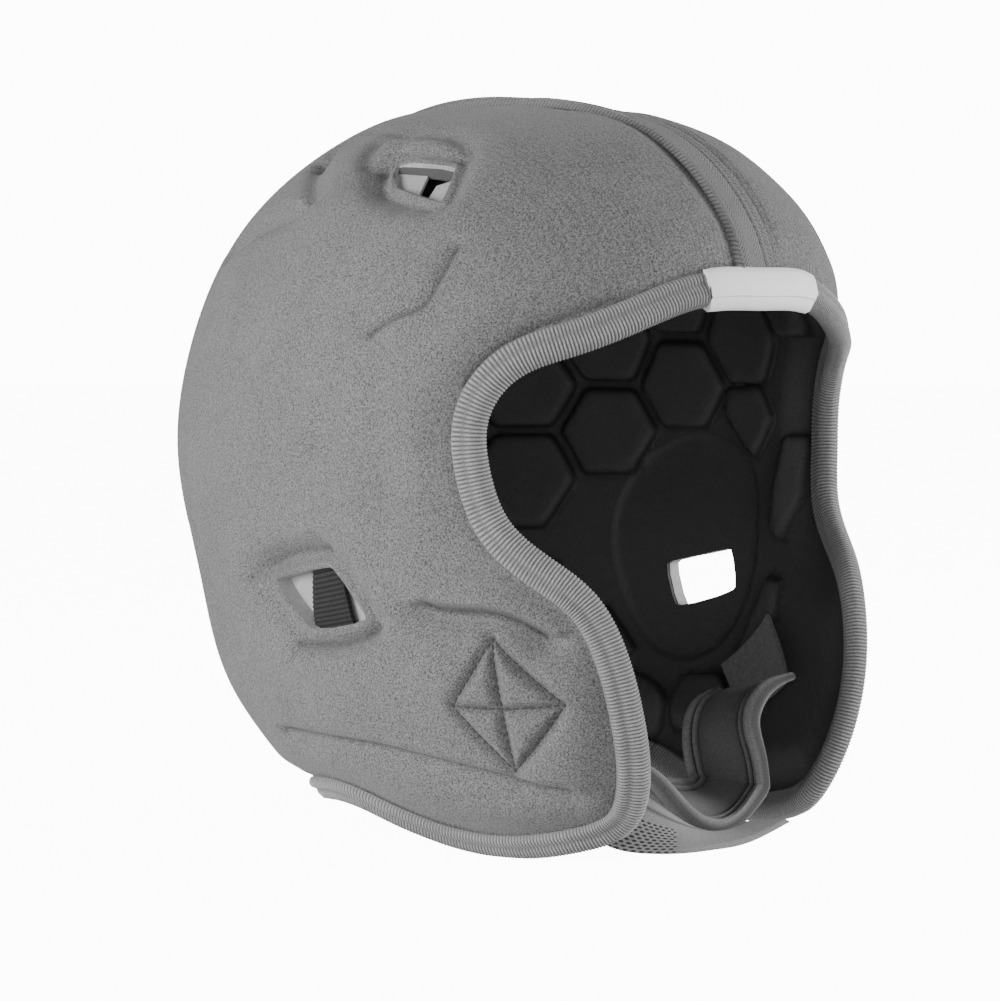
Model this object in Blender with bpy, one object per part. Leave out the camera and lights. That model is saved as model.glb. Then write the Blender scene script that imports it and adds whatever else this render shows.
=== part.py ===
"""Soft padded headgear for flag football: two foam shell halves, a black padded liner, a
ribbed binding round the rim, vents, a taped crown, a brow tab and an unfastened chin strap.

The wearer faces -Y, with the left ear on +X. It stands on its rim, with Z = 0 on the table."""

import math

import bmesh
import bpy
import numpy as np
from mathutils.geometry import delaunay_2d_cdt

# Overall sizes of the outer form
WIDTH = 0.190
LENGTH = 0.228
HEIGHT = 0.223

# Layers
SHELL_THICKNESS = 0.009
RIM_SHELL_THICKNESS = 0.0018
RIM_DIP = 0.0025
PUFF_WIDTH = 0.014
LINER_THICKNESS = 0.0025
RIM_LINER_THICKNESS = 0.0012
LAYER_GAP = 0.0004
SEAM_GAP = 0.0004

# Binding folded over the rim
BINDING_WIDTH = 0.0080
BINDING_INNER_WIDTH = 0.0072
BINDING_THICKNESS = 0.0012
BINDING_GAP = 0.0005

# Tape over the crown, and the tab at the brow
TAPE_WIDTH = 0.018
TAPE_THICKNESS = 0.0014
TAPE_SINK = 0.0015
TAPE_SINK_WIDTH = 0.006
LABEL_LENGTH = 0.0515
LABEL_THICKNESS = 0.0009

# Raised pads of the liner
PAD_PITCH = 0.0365
PAD_CHANNEL = 0.0034
PAD_RISE = 0.0024
PAD_RAMP = 0.0016
PAD_RIM_CLEARANCE = 0.0105
PAD_CLEARANCE = 0.0025

# Vents and the web behind the right lower one
VENT_DISH_DEPTH = 0.0028
VENT_DISH_WIDTH = 0.009
VENT_CORNER = 0.12
WEB_THICKNESS = 0.0012
WEB_DEPTH = 0.0064

# Folds pressed into the shell
FOLD_DEPTH = 0.0026
FOLD_HALF_WIDTH = 0.0045

# Strap, chin cup and fastening patch
STRAP_THICKNESS = 0.005
CUP_THICKNESS = 0.0022
PATCH_THICKNESS = 0.0012
SOFT_GAP = 0.0004

# Spacing of the mesh
RIM_SAMPLES = 52
SEAM_STATIONS = 44
OUTER_STEP = 0.0122
INNER_STEP = 0.017
FILL_STEP = 0.2
# Share of a pad's half width that its rings may use, and how far apart their points are in ring steps
RING_ROOM = 0.95
RING_SPACING = 1.4
# Mean radii of the flat map, in shares of half the width
PAD_RADIUS = 1.07
GRID_RADIUS = 1.15

# The plain form: radius from a centre at ear level, as shares of half the width
# Columns: elevation, front, side, back
FORM_TABLE = (
    (-65, 1.60, 1.42, 1.41),
    (-50, 1.475, 1.285, 1.425),
    (-35, 1.285, 1.15, 1.44),
    (-20, 1.085, 1.01, 1.44),
    (0, 0.965, 1.00, 1.435),
    (20, 1.00, 1.04, 1.385),
    (40, 1.075, 1.11, 1.32),
    (60, 1.12, 1.13, 1.245),
    (90, 1.12, 1.12, 1.12),
)
FORM_ROUNDNESS = 2.12
FORM_WIDTH = 2.0
FORM_LENGTH = 2.40
FORM_HEIGHT = 2.35

# The rim from the brow round the cheek to the nape, in degrees: azimuth from the front, elevation
RIM_POINTS = (
    (0, 28.2), (16, 27.5), (30, 23.2), (44, 18.3), (55, 13.8), (60, 6.5), (60, -2.0),
    (56.5, -11.7), (47.8, -18.2), (40.4, -23.0), (36, -29.0), (32.6, -37.5), (30.4, -46.0),
    (31.7, -52.5), (41, -57.3), (57, -61.4), (76, -62.6), (94, -60.3), (107, -57.6),
    (126, -56.8), (150, -58.5), (166, -61.0), (180, -62.3),
)

# Corners of the vents, back upper first, then round by the front
RIGHT_LOWER_VENT = ((114.0, -22.2), (95.5, -20.2), (85.0, -28.2), (101.5, -30.3))
LEFT_LOWER_VENT = ((105.3, -24.0), (86.5, -21.2), (85.2, -28.4), (102.6, -32.0))
UPPER_VENT = ((101.5, 56.0), (75.5, 54.3), (74.0, 45.0), (92.5, 49.6))
# Where the web crosses the upper and the lower edge of its vent, in shares from the back
WEB_TOP_SPAN = (0.56, 0.88)
WEB_BOTTOM_SPAN = (0.14, 0.74)
# Room between the web and the foam above and below it
WEB_CLEARANCE = 0.00064

# Centre lines of the pressed folds: azimuth, elevation
FOLDS = {
    "temple": ((82, 20.5), (77, 23.0), (72.5, 26.0), (69, 30.0), (67.5, 34.0)),
    "cheek": ((74, -23.0), (68, -25.0), (60, -25.8), (53, -26.8), (48.5, -29.2)),
    "lower cheek": ((102, -46.0), (86, -47.2), (70, -47.7), (56, -47.6), (44, -47.8)),
    "brow": ((66, 12.0), (58, 18.5), (48, 23.0), (37, 26.5)),
    "crown": ((118, 61.0), (100, 64.5), (80, 63.5), (62, 59.5)),
    "back": ((134, 29.0), (131, 36.0), (136, 43.0), (146, 49.0)),
    "neck": ((146, -14.0), (137, -24.0), (126, -32.0), (122, -40.0)),
}

# Oval recess over the ear, and pads of their own shape: azimuth, elevation
EAR_CENTRE = (98, -21)
EAR_AXES = (20.5, 22.5)
EAR_CLEARANCE = 1.75
PAD_LATTICE_ORIGIN = (28.5, 0.5)
EXTRA_PADS = (
    ((74, 1), (66, 1), (66, -15), (72, -14)),
    ((78, -45), (74, -36), (62, -33), (50, -36), (48, -45), (60, -50)),
)
LOOP_PATCH = ((70.5, -31.5), (57.5, -41.5), (71, -50.0), (84.0, -42.5))

# Strap laid inside the right cheek: azimuth and elevation of the front and back edge, lift in shares
STRAP_SEWN = (
    (45, -31.0, 66, -35.0, 0.0),
    (43, -36.0, 64, -42.0, 0.0),
    (37, -42.5, 57, -49.0, 0.03),
    (33, -46.5, 49, -54.5, 0.06),
)
# Strap beyond the cheek: front edge and back edge, in shares of half the width
STRAP_FREE = (
    (-0.305, -0.695, -1.000, -0.300, -0.460, -1.000),
    (-0.125, -0.695, -1.147, -0.110, -0.470, -1.045),
    (0.010, -0.695, -1.200, 0.030, -0.470, -1.075),
    (0.150, -0.695, -1.163, 0.150, -0.440, -1.090),
    (0.250, -0.695, -1.085, 0.230, -0.400, -1.080),
    (0.225, -0.695, -0.970, 0.210, -0.390, -1.000),
    (0.190, -0.695, -0.855, 0.225, -0.380, -0.915),
    (0.240, -0.700, -0.775, 0.255, -0.380, -0.855),
    (0.380, -0.705, -0.735, 0.320, -0.380, -0.815),
)
STRAP_STATIONS = 34
# Chin cup: lower edge in shares of half the width, each under the strap at that share of its length
CUP_EDGE = (
    (0.36, -0.400, -0.600, -1.215),
    (0.42, -0.335, -0.665, -1.236),
    (0.48, -0.220, -0.735, -1.242),
    (0.54, -0.060, -0.765, -1.240),
    (0.60, 0.110, -0.768, -1.228),
    (0.65, 0.265, -0.775, -1.190),
)
CUP_STATIONS = 14
LABEL_STATIONS = 7
WEB_STATIONS = 4

COLLECTION_NAME = "flag_football_headgear"
SCALE = np.array([WIDTH / FORM_WIDTH, LENGTH / FORM_LENGTH, HEIGHT / FORM_HEIGHT])

COLOURS = {
    "shell": ((0.19, 0.19, 0.19), 0.9),
    "tape": ((0.14, 0.14, 0.14), 0.85),
    "binding": ((0.12, 0.12, 0.12), 0.9),
    "label": ((0.85, 0.85, 0.85), 0.6),
    "liner": ((0.012, 0.012, 0.013), 0.8),
    "web": ((0.03, 0.03, 0.03), 0.8),
    "strap": ((0.07, 0.07, 0.07), 0.85),
    "cup": ((0.10, 0.10, 0.10), 0.85),
    "patch": ((0.035, 0.035, 0.035), 0.95),
}


def spline(knots, values, at):
    """Natural cubic spline through rows of values at the knots, read at the places given."""
    knots = np.asarray(knots, float)
    values = np.asarray(values, float)
    gap = np.diff(knots)
    slope = np.diff(values, axis=0) / gap[:, None]
    matrix = np.eye(len(knots))
    right = np.zeros_like(values)
    for i in range(1, len(knots) - 1):
        matrix[i, i - 1 : i + 2] = gap[i - 1], 2 * (gap[i - 1] + gap[i]), gap[i]
        right[i] = 6 * (slope[i] - slope[i - 1])
    bend = np.linalg.solve(matrix, right)
    at = np.asarray(at, float)
    i = np.clip(np.searchsorted(knots, at) - 1, 0, len(knots) - 2)
    step = gap[i][:, None]
    t = ((at - knots[i]) / gap[i])[:, None]
    straight = values[i] * (1 - t) + values[i + 1] * t
    curve = ((1 - t) ** 3 - (1 - t)) * bend[i] + (t**3 - t) * bend[i + 1]
    return straight + curve * step**2 / 6


def smooth_step(share):
    """0 to 1 with level ends."""
    share = np.clip(share, 0, 1)
    return share * share * (3 - 2 * share)


def unit(vectors):
    """Vectors of length one."""
    return vectors / np.linalg.norm(vectors, axis=-1, keepdims=True)


def towards(angles):
    """Unit directions from rows of azimuth and elevation in degrees."""
    azimuth, elevation = np.radians(np.asarray(angles, float).reshape(-1, 2)).T
    level = np.cos(elevation)
    return np.stack([level * np.sin(azimuth), -level * np.cos(azimuth), np.sin(elevation)], -1)


def form(directions):
    """Points of the plain outer form in unit directions from its centre."""
    azimuth = np.arctan2(directions[:, 0], -directions[:, 1])
    elevation = np.degrees(np.arcsin(np.clip(directions[:, 2], -1, 1)))
    rows, front, side, back = np.array(FORM_TABLE).T
    over = np.concatenate([rows, 180 - rows[-2::-1]])
    profile = np.column_stack([np.append(front, back[-2::-1]), np.append(side, side[-2::-1])])
    forward = np.cos(azimuth) > 0
    ends = spline(over, profile[:, :1], np.where(forward, elevation, 180 - elevation))[:, 0]
    flanks = spline(over, profile[:, 1:], elevation)[:, 0]
    roundness = 2 + (FORM_ROUNDNESS - 2) * (1 - directions[:, 2] ** 2)
    along = (np.abs(np.cos(azimuth)) / ends) ** roundness
    across = (np.abs(np.sin(azimuth)) / flanks) ** roundness
    radius = (along + across) ** (-1 / roundness)
    return directions * radius[:, None] * SCALE


def normals(directions):
    """Outward normals of the plain form."""
    reach = 0.004
    helper = np.where(np.abs(directions[:, 2:]) > 0.9, [[1.0, 0.0, 0.0]], [[0.0, 0.0, 1.0]])
    first = unit(np.cross(helper, directions))
    second = np.cross(directions, first)
    run = form(unit(directions + first * reach)) - form(unit(directions - first * reach))
    rise = form(unit(directions + second * reach)) - form(unit(directions - second * reach))
    return unit(np.cross(run, rise))


def place(directions, depth):
    """Points that lie this deep under the plain form."""
    return form(directions) - normals(directions) * np.reshape(depth, (-1, 1))


def direction_of(points):
    """Unit directions in which the plain form passes these points."""
    return unit(points / SCALE)


def distance(points, line, closed):
    """Distance of each point to a line of points."""
    start = line if closed else line[:-1]
    run = (np.roll(line, -1, axis=0) if closed else line[1:]) - start
    share = ((points[:, None] - start) * run).sum(-1) / (run**2).sum(-1)
    nearest = start + np.clip(share, 0, 1)[..., None] * run
    return np.linalg.norm(points[:, None] - nearest, axis=-1).min(1)


def flat(directions):
    """Flat map of directions round the ear: back and up, in radians."""
    turn = np.arccos(np.clip(directions[:, 0], -1, 1))
    angle = np.arctan2(directions[:, 2], directions[:, 1])
    return np.stack([turn * np.cos(angle), turn * np.sin(angle)], -1)


def unflat(places):
    """Directions of places on the flat map."""
    turn = np.linalg.norm(places, axis=-1)
    share = np.where(turn > 1e-9, np.sin(turn) / np.maximum(turn, 1e-9), 1)[:, None]
    return np.column_stack([np.cos(turn), places * share])


def inside(places, outline):
    """Which flat places lie within a closed outline."""
    found = np.zeros(len(places), bool)
    for (x0, y0), (x1, y1) in zip(outline, np.roll(outline, -1, axis=0)):
        spans = (y0 > places[:, 1]) != (y1 > places[:, 1])
        rise = y1 - y0 if y1 != y0 else 1.0
        crossing = x0 + (places[:, 1] - y0) * (x1 - x0) / rise
        found ^= spans & (places[:, 0] < crossing)
    return found


def even(points, count, closed=False):
    """The same line with its points evenly spaced."""
    line = np.concatenate([points, points[:1]]) if closed else points
    run = np.concatenate([[0], np.cumsum(np.linalg.norm(np.diff(line, axis=0), axis=1))])
    at = np.linspace(0, run[-1], count + 1 if closed else count)
    return np.stack([np.interp(at, run, line[:, k]) for k in range(3)], -1)[:count]


def rim_line():
    """Directions of the rim on the left, from the brow centre to the nape centre, evenly spaced."""
    half = towards(RIM_POINTS)
    mirror = np.array([-1, 1, 1])
    line = np.concatenate([half[3:0:-1] * mirror, half, half[-2:-5:-1] * mirror])
    knots = np.concatenate([[0], np.cumsum(np.linalg.norm(np.diff(line, axis=0), axis=1))])
    at = np.linspace(knots[3], knots[-4], 12 * RIM_SAMPLES)
    fine = form(unit(spline(knots, line, at)))
    rim = direction_of(even(fine, RIM_SAMPLES + 1))
    rim[[0, -1], 0] = 0
    return unit(rim)


RIM = rim_line()
RIM_LOOP = np.concatenate([RIM, (RIM * [-1, 1, 1])[-2:0:-1]])
RIM_POSITIONS = form(RIM_LOOP)


def rim_inward():
    """Inward vectors of the closed rim, in the surface."""
    tangent = unit(np.roll(RIM_POSITIONS, -1, axis=0) - np.roll(RIM_POSITIONS, 1, axis=0))
    inward = unit(np.cross(tangent, normals(RIM_LOOP)))
    brow_up = inward[0, 2] > 0
    return inward if brow_up else -inward


RIM_INWARD = rim_inward()


def rim_inset(reach):
    """Directions at this distance inside the closed rim."""
    return direction_of(RIM_POSITIONS + RIM_INWARD * reach)


def seam_line():
    """Directions over the crown from the nape to the brow, in the middle plane."""
    brow, nape = RIM[0], RIM[-1]
    start = math.atan2(nape[2], nape[1])
    end = math.atan2(brow[2], brow[1])
    angle = np.linspace(start, end, 12 * SEAM_STATIONS)
    fine = form(np.stack([np.zeros_like(angle), np.cos(angle), np.sin(angle)], -1))
    seam = direction_of(even(fine, SEAM_STATIONS + 1))
    seam[:, 0] = 0
    return unit(seam)


SEAM = seam_line()


def beside_seam(reach, line=SEAM):
    """Directions beside the seam at this distance from the middle plane."""
    return direction_of(form(line) + [reach, 0, 0])


def vent_outline(corners):
    """A vent's outline with its corners cut, as directions."""
    points = towards(corners)
    ahead = np.roll(points, -1, axis=0)
    near = points + (ahead - points) * VENT_CORNER
    far = points + (ahead - points) * (1 - VENT_CORNER)
    return unit(np.stack([near, far], 1).reshape(-1, 3))


def vents(side):
    """The two vents of a side."""
    lower = LEFT_LOWER_VENT if side > 0 else RIGHT_LOWER_VENT
    return [vent_outline(lower), vent_outline(UPPER_VENT)]


def grown(outline, reach):
    """An outline on the form, moved outwards by this distance."""
    points = form(outline)
    centre = points.mean(0)
    away = unit(points - centre)
    return direction_of(points + away * reach)


def rim_share(points):
    """0 under the binding to 1 where the padding is full."""
    reach = distance(points, RIM_POSITIONS, True)
    return smooth_step((reach - BINDING_WIDTH) / PUFF_WIDTH)


def fold_line(name):
    """A fold's centre line as directions."""
    angles = np.array(FOLDS[name], float)
    return towards(spline(np.arange(len(angles)), angles, np.linspace(0, len(angles) - 1, 9)))


def shell_depth(directions, side):
    """How far the shell's outer face lies under the plain form."""
    points = form(directions)
    share = rim_share(points)
    depth = RIM_DIP * (1 - share) + seam_sink(points) * share
    for name in FOLDS:
        reach = distance(points, form(fold_line(name)), False)
        depth = depth + FOLD_DEPTH * np.exp(-((reach / FOLD_HALF_WIDTH) ** 2))
    for vent in vents(side):
        reach = distance(points, form(vent), True)
        reach[inside(flat(directions), flat(vent))] = 0
        depth = depth + VENT_DISH_DEPTH * (1 - smooth_step(reach / VENT_DISH_WIDTH))
    return depth


def back_depth(directions):
    """How far the shell's inner face lies under the plain form."""
    rim_depth = RIM_DIP + RIM_SHELL_THICKNESS
    share = rim_share(form(directions))
    return rim_depth + (SHELL_THICKNESS - rim_depth) * share


def liner_depth(directions):
    """How far the liner's outer face lies under the plain form."""
    return back_depth(directions) + LAYER_GAP


def floor_depth(directions):
    """How far the liner's inner face lies under the plain form, between its pads."""
    share = rim_share(form(directions))
    wall = RIM_LINER_THICKNESS + (LINER_THICKNESS - RIM_LINER_THICKNESS) * share
    return liner_depth(directions) + wall


def seam_sink(points):
    """How far the shell dips beside the seam, so that the tape lies flush."""
    reach = np.abs(points[:, 0]) - TAPE_WIDTH / 2
    return TAPE_SINK * (1 - smooth_step(reach / TAPE_SINK_WIDTH))


def pad_pitch():
    """Pitch of the pads on the flat map, in radians."""
    return PAD_PITCH / (WIDTH / 2 * PAD_RADIUS)


def pad_outlines(side):
    """Outlines of the liner's raised pads on the flat map."""
    pitch = pad_pitch()
    channel = PAD_CHANNEL / PAD_PITCH * pitch
    ear = flat(towards([EAR_CENTRE]))[0]
    corners = np.radians(np.arange(0, 360, 60))
    hexagon = np.stack([np.cos(corners), np.sin(corners)], -1) * (pitch - channel) / math.sqrt(3)
    origin = np.radians(PAD_LATTICE_ORIGIN)
    rows = range(-8, 9)
    spaces = [origin + [i * pitch * math.sqrt(0.75), (j + (i % 2) / 2) * pitch] for i in rows for j in rows]
    extra = [flat(towards(pad)) for pad in EXTRA_PADS]
    pads = [divided(pad, pitch * 0.3) for pad in extra]
    seam_clear = math.pi / 2 - PAD_CLEARANCE / (WIDTH / 2)
    for centre in spaces:
        outline = centre + hexagon
        if np.linalg.norm(outline, axis=1).max() > seam_clear:
            continue
        if (((centre - ear) / np.radians(EAR_AXES)) ** 2).sum() < EAR_CLEARANCE:
            continue
        points = form(unflat(divided(outline, pitch * FILL_STEP)))
        if distance(points, RIM_POSITIONS, True).min() < PAD_RIM_CLEARANCE:
            continue
        if not inside(outline, flat(RIM_REGION)).all():
            continue
        if any(distance(points, form(vent), True).min() < PAD_CLEARANCE for vent in vents(side)):
            continue
        if any(inside(flat(vent), outline).any() for vent in vents(side)):
            continue
        if any(inside(outline, pad).any() or inside(pad, outline).any() for pad in pads[: len(extra)]):
            continue
        pads.append(outline)
    return pads


RIM_REGION = np.concatenate([RIM, SEAM[1:-1]])


def inner_reach(places, outline):
    """How far flat places lie inside a convex outline."""
    centre = outline.mean(0)
    run = np.roll(outline, -1, axis=0) - outline
    normal = unit(np.stack([-run[:, 1], run[:, 0]], -1))
    normal *= np.sign(((centre - outline) * normal).sum(-1))[:, None]
    return ((places[:, None] - outline) * normal).sum(-1).min(1)


def pad_rise(directions, pads):
    """Height of the raised pads above the liner's floor."""
    places = flat(directions)
    ramp = PAD_RAMP / (WIDTH / 2 * PAD_RADIUS)
    rise = np.zeros(len(places))
    for outline in pads:
        rise = np.maximum(rise, PAD_RISE * np.clip(inner_reach(places, outline) / ramp, 0, 1))
    return rise


def divided(outline, reach):
    """An outline with points added, so that none of its sides is longer than this."""
    points = []
    for start, end in zip(outline, np.roll(outline, -1, axis=0)):
        parts = max(1, math.ceil(np.linalg.norm(end - start) / reach))
        points += [start + (end - start) * i / parts for i in range(parts)]
    return np.array(points)


def shrunk(outline, reach):
    """A convex flat outline with each side moved in."""
    centre = outline.mean(0)
    sides = inner_reach(centre[None], outline)[0]
    return centre + (outline - centre) * (1 - reach / sides)


def filling_rings(pads):
    """Rings inside the broad pads, so that their tops follow the form."""
    rings = []
    for pad in pads:
        room = inner_reach(pad.mean(0)[None], pad)[0]
        reach = pad_pitch() * FILL_STEP
        for turn in range(1, int(room / reach) + 1):
            rings.append(divided(shrunk(pad, min(turn * reach, room * RING_ROOM)), reach * RING_SPACING))
    return rings


def hex_grid(step, clear_of, room, outline, holes):
    """Places of an even grid inside the region, clear of the guide points."""
    pitch = step / (WIDTH / 2 * GRID_RADIUS)
    span = int(math.pi / 2 / pitch) + 1
    rows = np.arange(-span, span + 1)
    grid = np.array([((i + (j % 2) / 2) * pitch, j * pitch * math.sqrt(0.75)) for i in rows for j in rows])
    grid = grid[inside(grid, outline)]
    for hole in holes:
        grid = grid[~inside(grid, hole)]
    grid = grid[np.linalg.norm(grid, axis=1) < math.pi / 2 - TAPE_WIDTH / WIDTH]
    far = np.linalg.norm(grid[:, None] - clear_of, axis=-1).min(1) > pitch * room
    return grid[far]


def sheet(holes, guides, step, room):
    """Triangles over one half: directions of the points and their triples.

    The first points are the rim, then the seam, then each hole's outline, in order."""
    outline = flat(RIM_REGION)
    flat_holes = [flat(hole) for hole in holes]
    places = [outline] + flat_holes
    closed = [True] * len(places)
    for line, loop in guides:
        places.append(line)
        closed.append(loop)
    fixed = np.concatenate(places)
    edges = []
    start = 0
    for line, loop in zip(places, closed):
        last = len(line) if loop else len(line) - 1
        edges += [(start + i, start + (i + 1) % len(line)) for i in range(last)]
        start += len(line)
    grid = hex_grid(step, fixed, room, outline, flat_holes)
    every = np.concatenate([fixed, grid])
    found = delaunay_2d_cdt([tuple(p) for p in every], edges, [], 0, 1e-7)
    points = np.array([tuple(p) for p in found[0]])
    faces = np.array([tuple(f) for f in found[2]])
    middle = points[faces].mean(1)
    keep = inside(middle, outline)
    for hole in flat_holes:
        keep &= ~inside(middle, hole)
    order = {source: new for new, sources in enumerate(found[3]) for source in sources}
    border = [order[i] for i in range(sum(len(line) for line in places[: 1 + len(holes)]))]
    return unflat(points), faces[keep], border


def border_runs(holes):
    """Pairs of neighbours along the border, the rim first, as the sheets number it."""
    total = len(RIM_REGION)
    runs = [(i, (i + 1) % total) for i in range(total)]
    start = total
    for hole in holes:
        runs += [(start + i, start + (i + 1) % len(hole)) for i in range(len(hole))]
        start += len(hole)
    return runs


def layered(sheets, depths, holes, side, middle):
    """Vertices and faces of a half between an outer and an inner sheet, walls included."""
    points = []
    faces = []
    starts = []
    for (directions, triples, _), depth, outwards in zip(sheets, depths, (True, False)):
        starts.append(len(points))
        positions = place(directions, depth)
        on_seam = directions[:, 0] < 1e-6
        positions[on_seam, 0] = middle
        corner = positions[triples]
        facing = (np.cross(corner[:, 1] - corner[:, 0], corner[:, 2] - corner[:, 0]) * corner[:, 0]).sum(-1)
        flip = (facing > 0) != outwards
        triples = np.where(flip[:, None], triples[:, ::-1], triples)
        faces += [tuple(int(v) + starts[-1] for v in triple) for triple in triples]
        points += [tuple(p) for p in positions]
    outer, inner = sheets[0][2], sheets[1][2]
    for a, b in border_runs(holes):
        faces.append((outer[a], outer[b], starts[1] + inner[b], starts[1] + inner[a]))
    return [(x * side, y, z) for x, y, z in points], faces


def solid(name, points, faces, material, weld=1e-6):
    """An object from points and faces, with its faces turned outwards."""
    mesh = bpy.data.meshes.new(name)
    work = bmesh.new()
    made = [work.verts.new(p) for p in points]
    for face in faces:
        work.faces.new([made[i] for i in face])
    bmesh.ops.remove_doubles(work, verts=work.verts, dist=weld)
    bmesh.ops.triangulate(work, faces=[f for f in work.faces if len(f.verts) > 3])
    bmesh.ops.recalc_face_normals(work, faces=work.faces)
    if work.calc_volume(signed=True) < 0:
        bmesh.ops.reverse_faces(work, faces=work.faces)
    work.to_mesh(mesh)
    work.free()
    for polygon in mesh.polygons:
        polygon.use_smooth = True
    mesh.set_sharp_from_angle(angle=math.radians(40))
    thing = bpy.data.objects.new(name, mesh)
    thing.data.materials.append(material_for(material))
    bpy.data.collections[COLLECTION_NAME].objects.link(thing)
    return thing


def material_for(name):
    """The named plain material."""
    if name in bpy.data.materials:
        return bpy.data.materials[name]
    colour, roughness = COLOURS[name]
    made = bpy.data.materials.new(name)
    made.use_nodes = True
    shader = made.node_tree.nodes["Principled BSDF"]
    shader.inputs["Base Color"].default_value = (*colour, 1)
    shader.inputs["Roughness"].default_value = roughness
    shader.inputs["Metallic"].default_value = 0
    made.diffuse_color = (*colour, 1)
    return made


def half_line(directions):
    """The left half of a closed rim line, as a flat guide."""
    return flat(directions[1 : RIM_SAMPLES])


def shared_guides():
    """Guide lines that the shell, its lining face and the liner's outer face share."""
    binding = half_line(rim_inset(BINDING_WIDTH + BINDING_GAP))
    tape = flat(beside_seam(TAPE_WIDTH / 2 + SEAM_GAP)[2:-2])
    return [(binding, False), (tape, False)]


def vent_guides(side):
    """Rings round the vents, where the dish bends."""
    rings = []
    for vent in vents(side):
        rings += [(flat(grown(vent, VENT_DISH_WIDTH * share)), True) for share in (0.45, 1.0)]
    return rings


def fold_guides():
    """Lines along and beside each fold."""
    lines = []
    for name in FOLDS:
        centre = fold_line(name)
        points = form(centre)
        along = np.gradient(points, axis=0)
        across = unit(np.cross(along, normals(centre)))
        lines.append((flat(centre[::2]), False))
        for sign in (-1, 1):
            beside = direction_of(points + across * sign * FOLD_HALF_WIDTH * 1.5)
            lines.append((flat(beside[::2]), False))
    return lines


def shell_half(name, side):
    """One foam half: pressed folds outside, plain inside."""
    holes = vents(side)
    outer = sheet(holes, shared_guides() + vent_guides(side) + fold_guides(), OUTER_STEP, 0.62)
    inner = sheet(holes, shared_guides(), INNER_STEP, 0.6)
    depths = (shell_depth(outer[0], side), back_depth(inner[0]))
    points, faces = layered((outer, inner), depths, holes, side, SEAM_GAP / 2)
    return solid(name, points, faces, "shell")


def liner_half(name, side):
    """The lining inside one shell half, with its raised pads."""
    holes = vents(side)
    pads = pad_outlines(side)
    ramp = PAD_RAMP / (WIDTH / 2 * PAD_RADIUS)
    rings = [(outline, True) for outline in pads + [shrunk(pad, ramp) for pad in pads]]
    rings += [(ring, True) for ring in filling_rings(pads[: len(EXTRA_PADS)])]
    binding = [(half_line(rim_inset(BINDING_WIDTH + BINDING_GAP)), False)]
    outer = sheet(holes, shared_guides(), INNER_STEP, 0.6)
    inner = sheet(holes, binding + rings, INNER_STEP, 0.62)
    depths = (liner_depth(outer[0]), floor_depth(inner[0]) + pad_rise(inner[0], pads))
    points, faces = layered((outer, inner), depths, holes, side, SEAM_GAP / 2)
    return solid(name, points, faces, "liner")


def rim_stretch(length, stations):
    """Positions and inward vectors along a stretch of the rim, centred at the brow."""
    steps = np.linalg.norm(np.roll(RIM_POSITIONS, -1, axis=0) - RIM_POSITIONS, axis=1)
    run = np.concatenate([[0], np.cumsum(steps)])
    at = np.linspace(-length / 2, length / 2, stations) % run[-1]
    both = np.column_stack([RIM_POSITIONS, RIM_INWARD])
    both = np.concatenate([both, both[:1]])
    found = np.stack([np.interp(at, run, column) for column in both.T], -1)
    return found[:, :3], found[:, 3:]


def rim_band(section, positions, inward, closed):
    """Points and faces of a band whose section runs along the rim.

    A section's point is (distance inside the rim, share from outer to inner face, lift off it)."""
    loops = []
    for reach, share, lift in section:
        directions = direction_of(positions + inward * reach)
        outer_face = np.full(len(directions), RIM_DIP)
        inner_face = floor_depth(directions)
        depth = outer_face - lift if share == 0 else inner_face + lift
        if 0 < share < 1:
            depth = outer_face * (1 - share) + inner_face * share
        loops.append(place(directions, depth))
    return band_mesh(np.stack(loops, 1), closed)


def band_mesh(rings, closed):
    """Points and faces that join rings of points in turn."""
    count, width = rings.shape[:2]
    faces = []
    for i in range(count if closed else count - 1):
        ahead = (i + 1) % count
        for j in range(width):
            k = (j + 1) % width
            faces.append((i * width + j, i * width + k, ahead * width + k, ahead * width + j))
    if not closed:
        faces.append(tuple(range(width)))
        faces.append(tuple((count - 1) * width + j for j in range(width)))
    return [tuple(p) for p in rings.reshape(-1, 3)], faces


def binding():
    """The ribbed binding, a channel folded over the whole rim."""
    gap, wall = BINDING_GAP, BINDING_THICKNESS
    full = gap + wall
    section = (
        (BINDING_WIDTH, 0, gap + wall * 0.5),
        (BINDING_WIDTH - 0.001, 0, full),
        (0.0006, 0, full),
        (-0.75 * full, 0.1, 0),
        (-full, 0.5, 0),
        (-0.75 * full, 0.9, 0),
        (0.0006, 1, full),
        (BINDING_INNER_WIDTH, 1, full),
        (BINDING_INNER_WIDTH, 1, gap),
        (-gap, 1, gap),
        (-gap, 0, gap),
        (BINDING_WIDTH, 0, gap),
    )
    points, faces = rim_band(section, RIM_POSITIONS, RIM_INWARD, True)
    return solid("edge_binding", points, faces, "binding")


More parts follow.
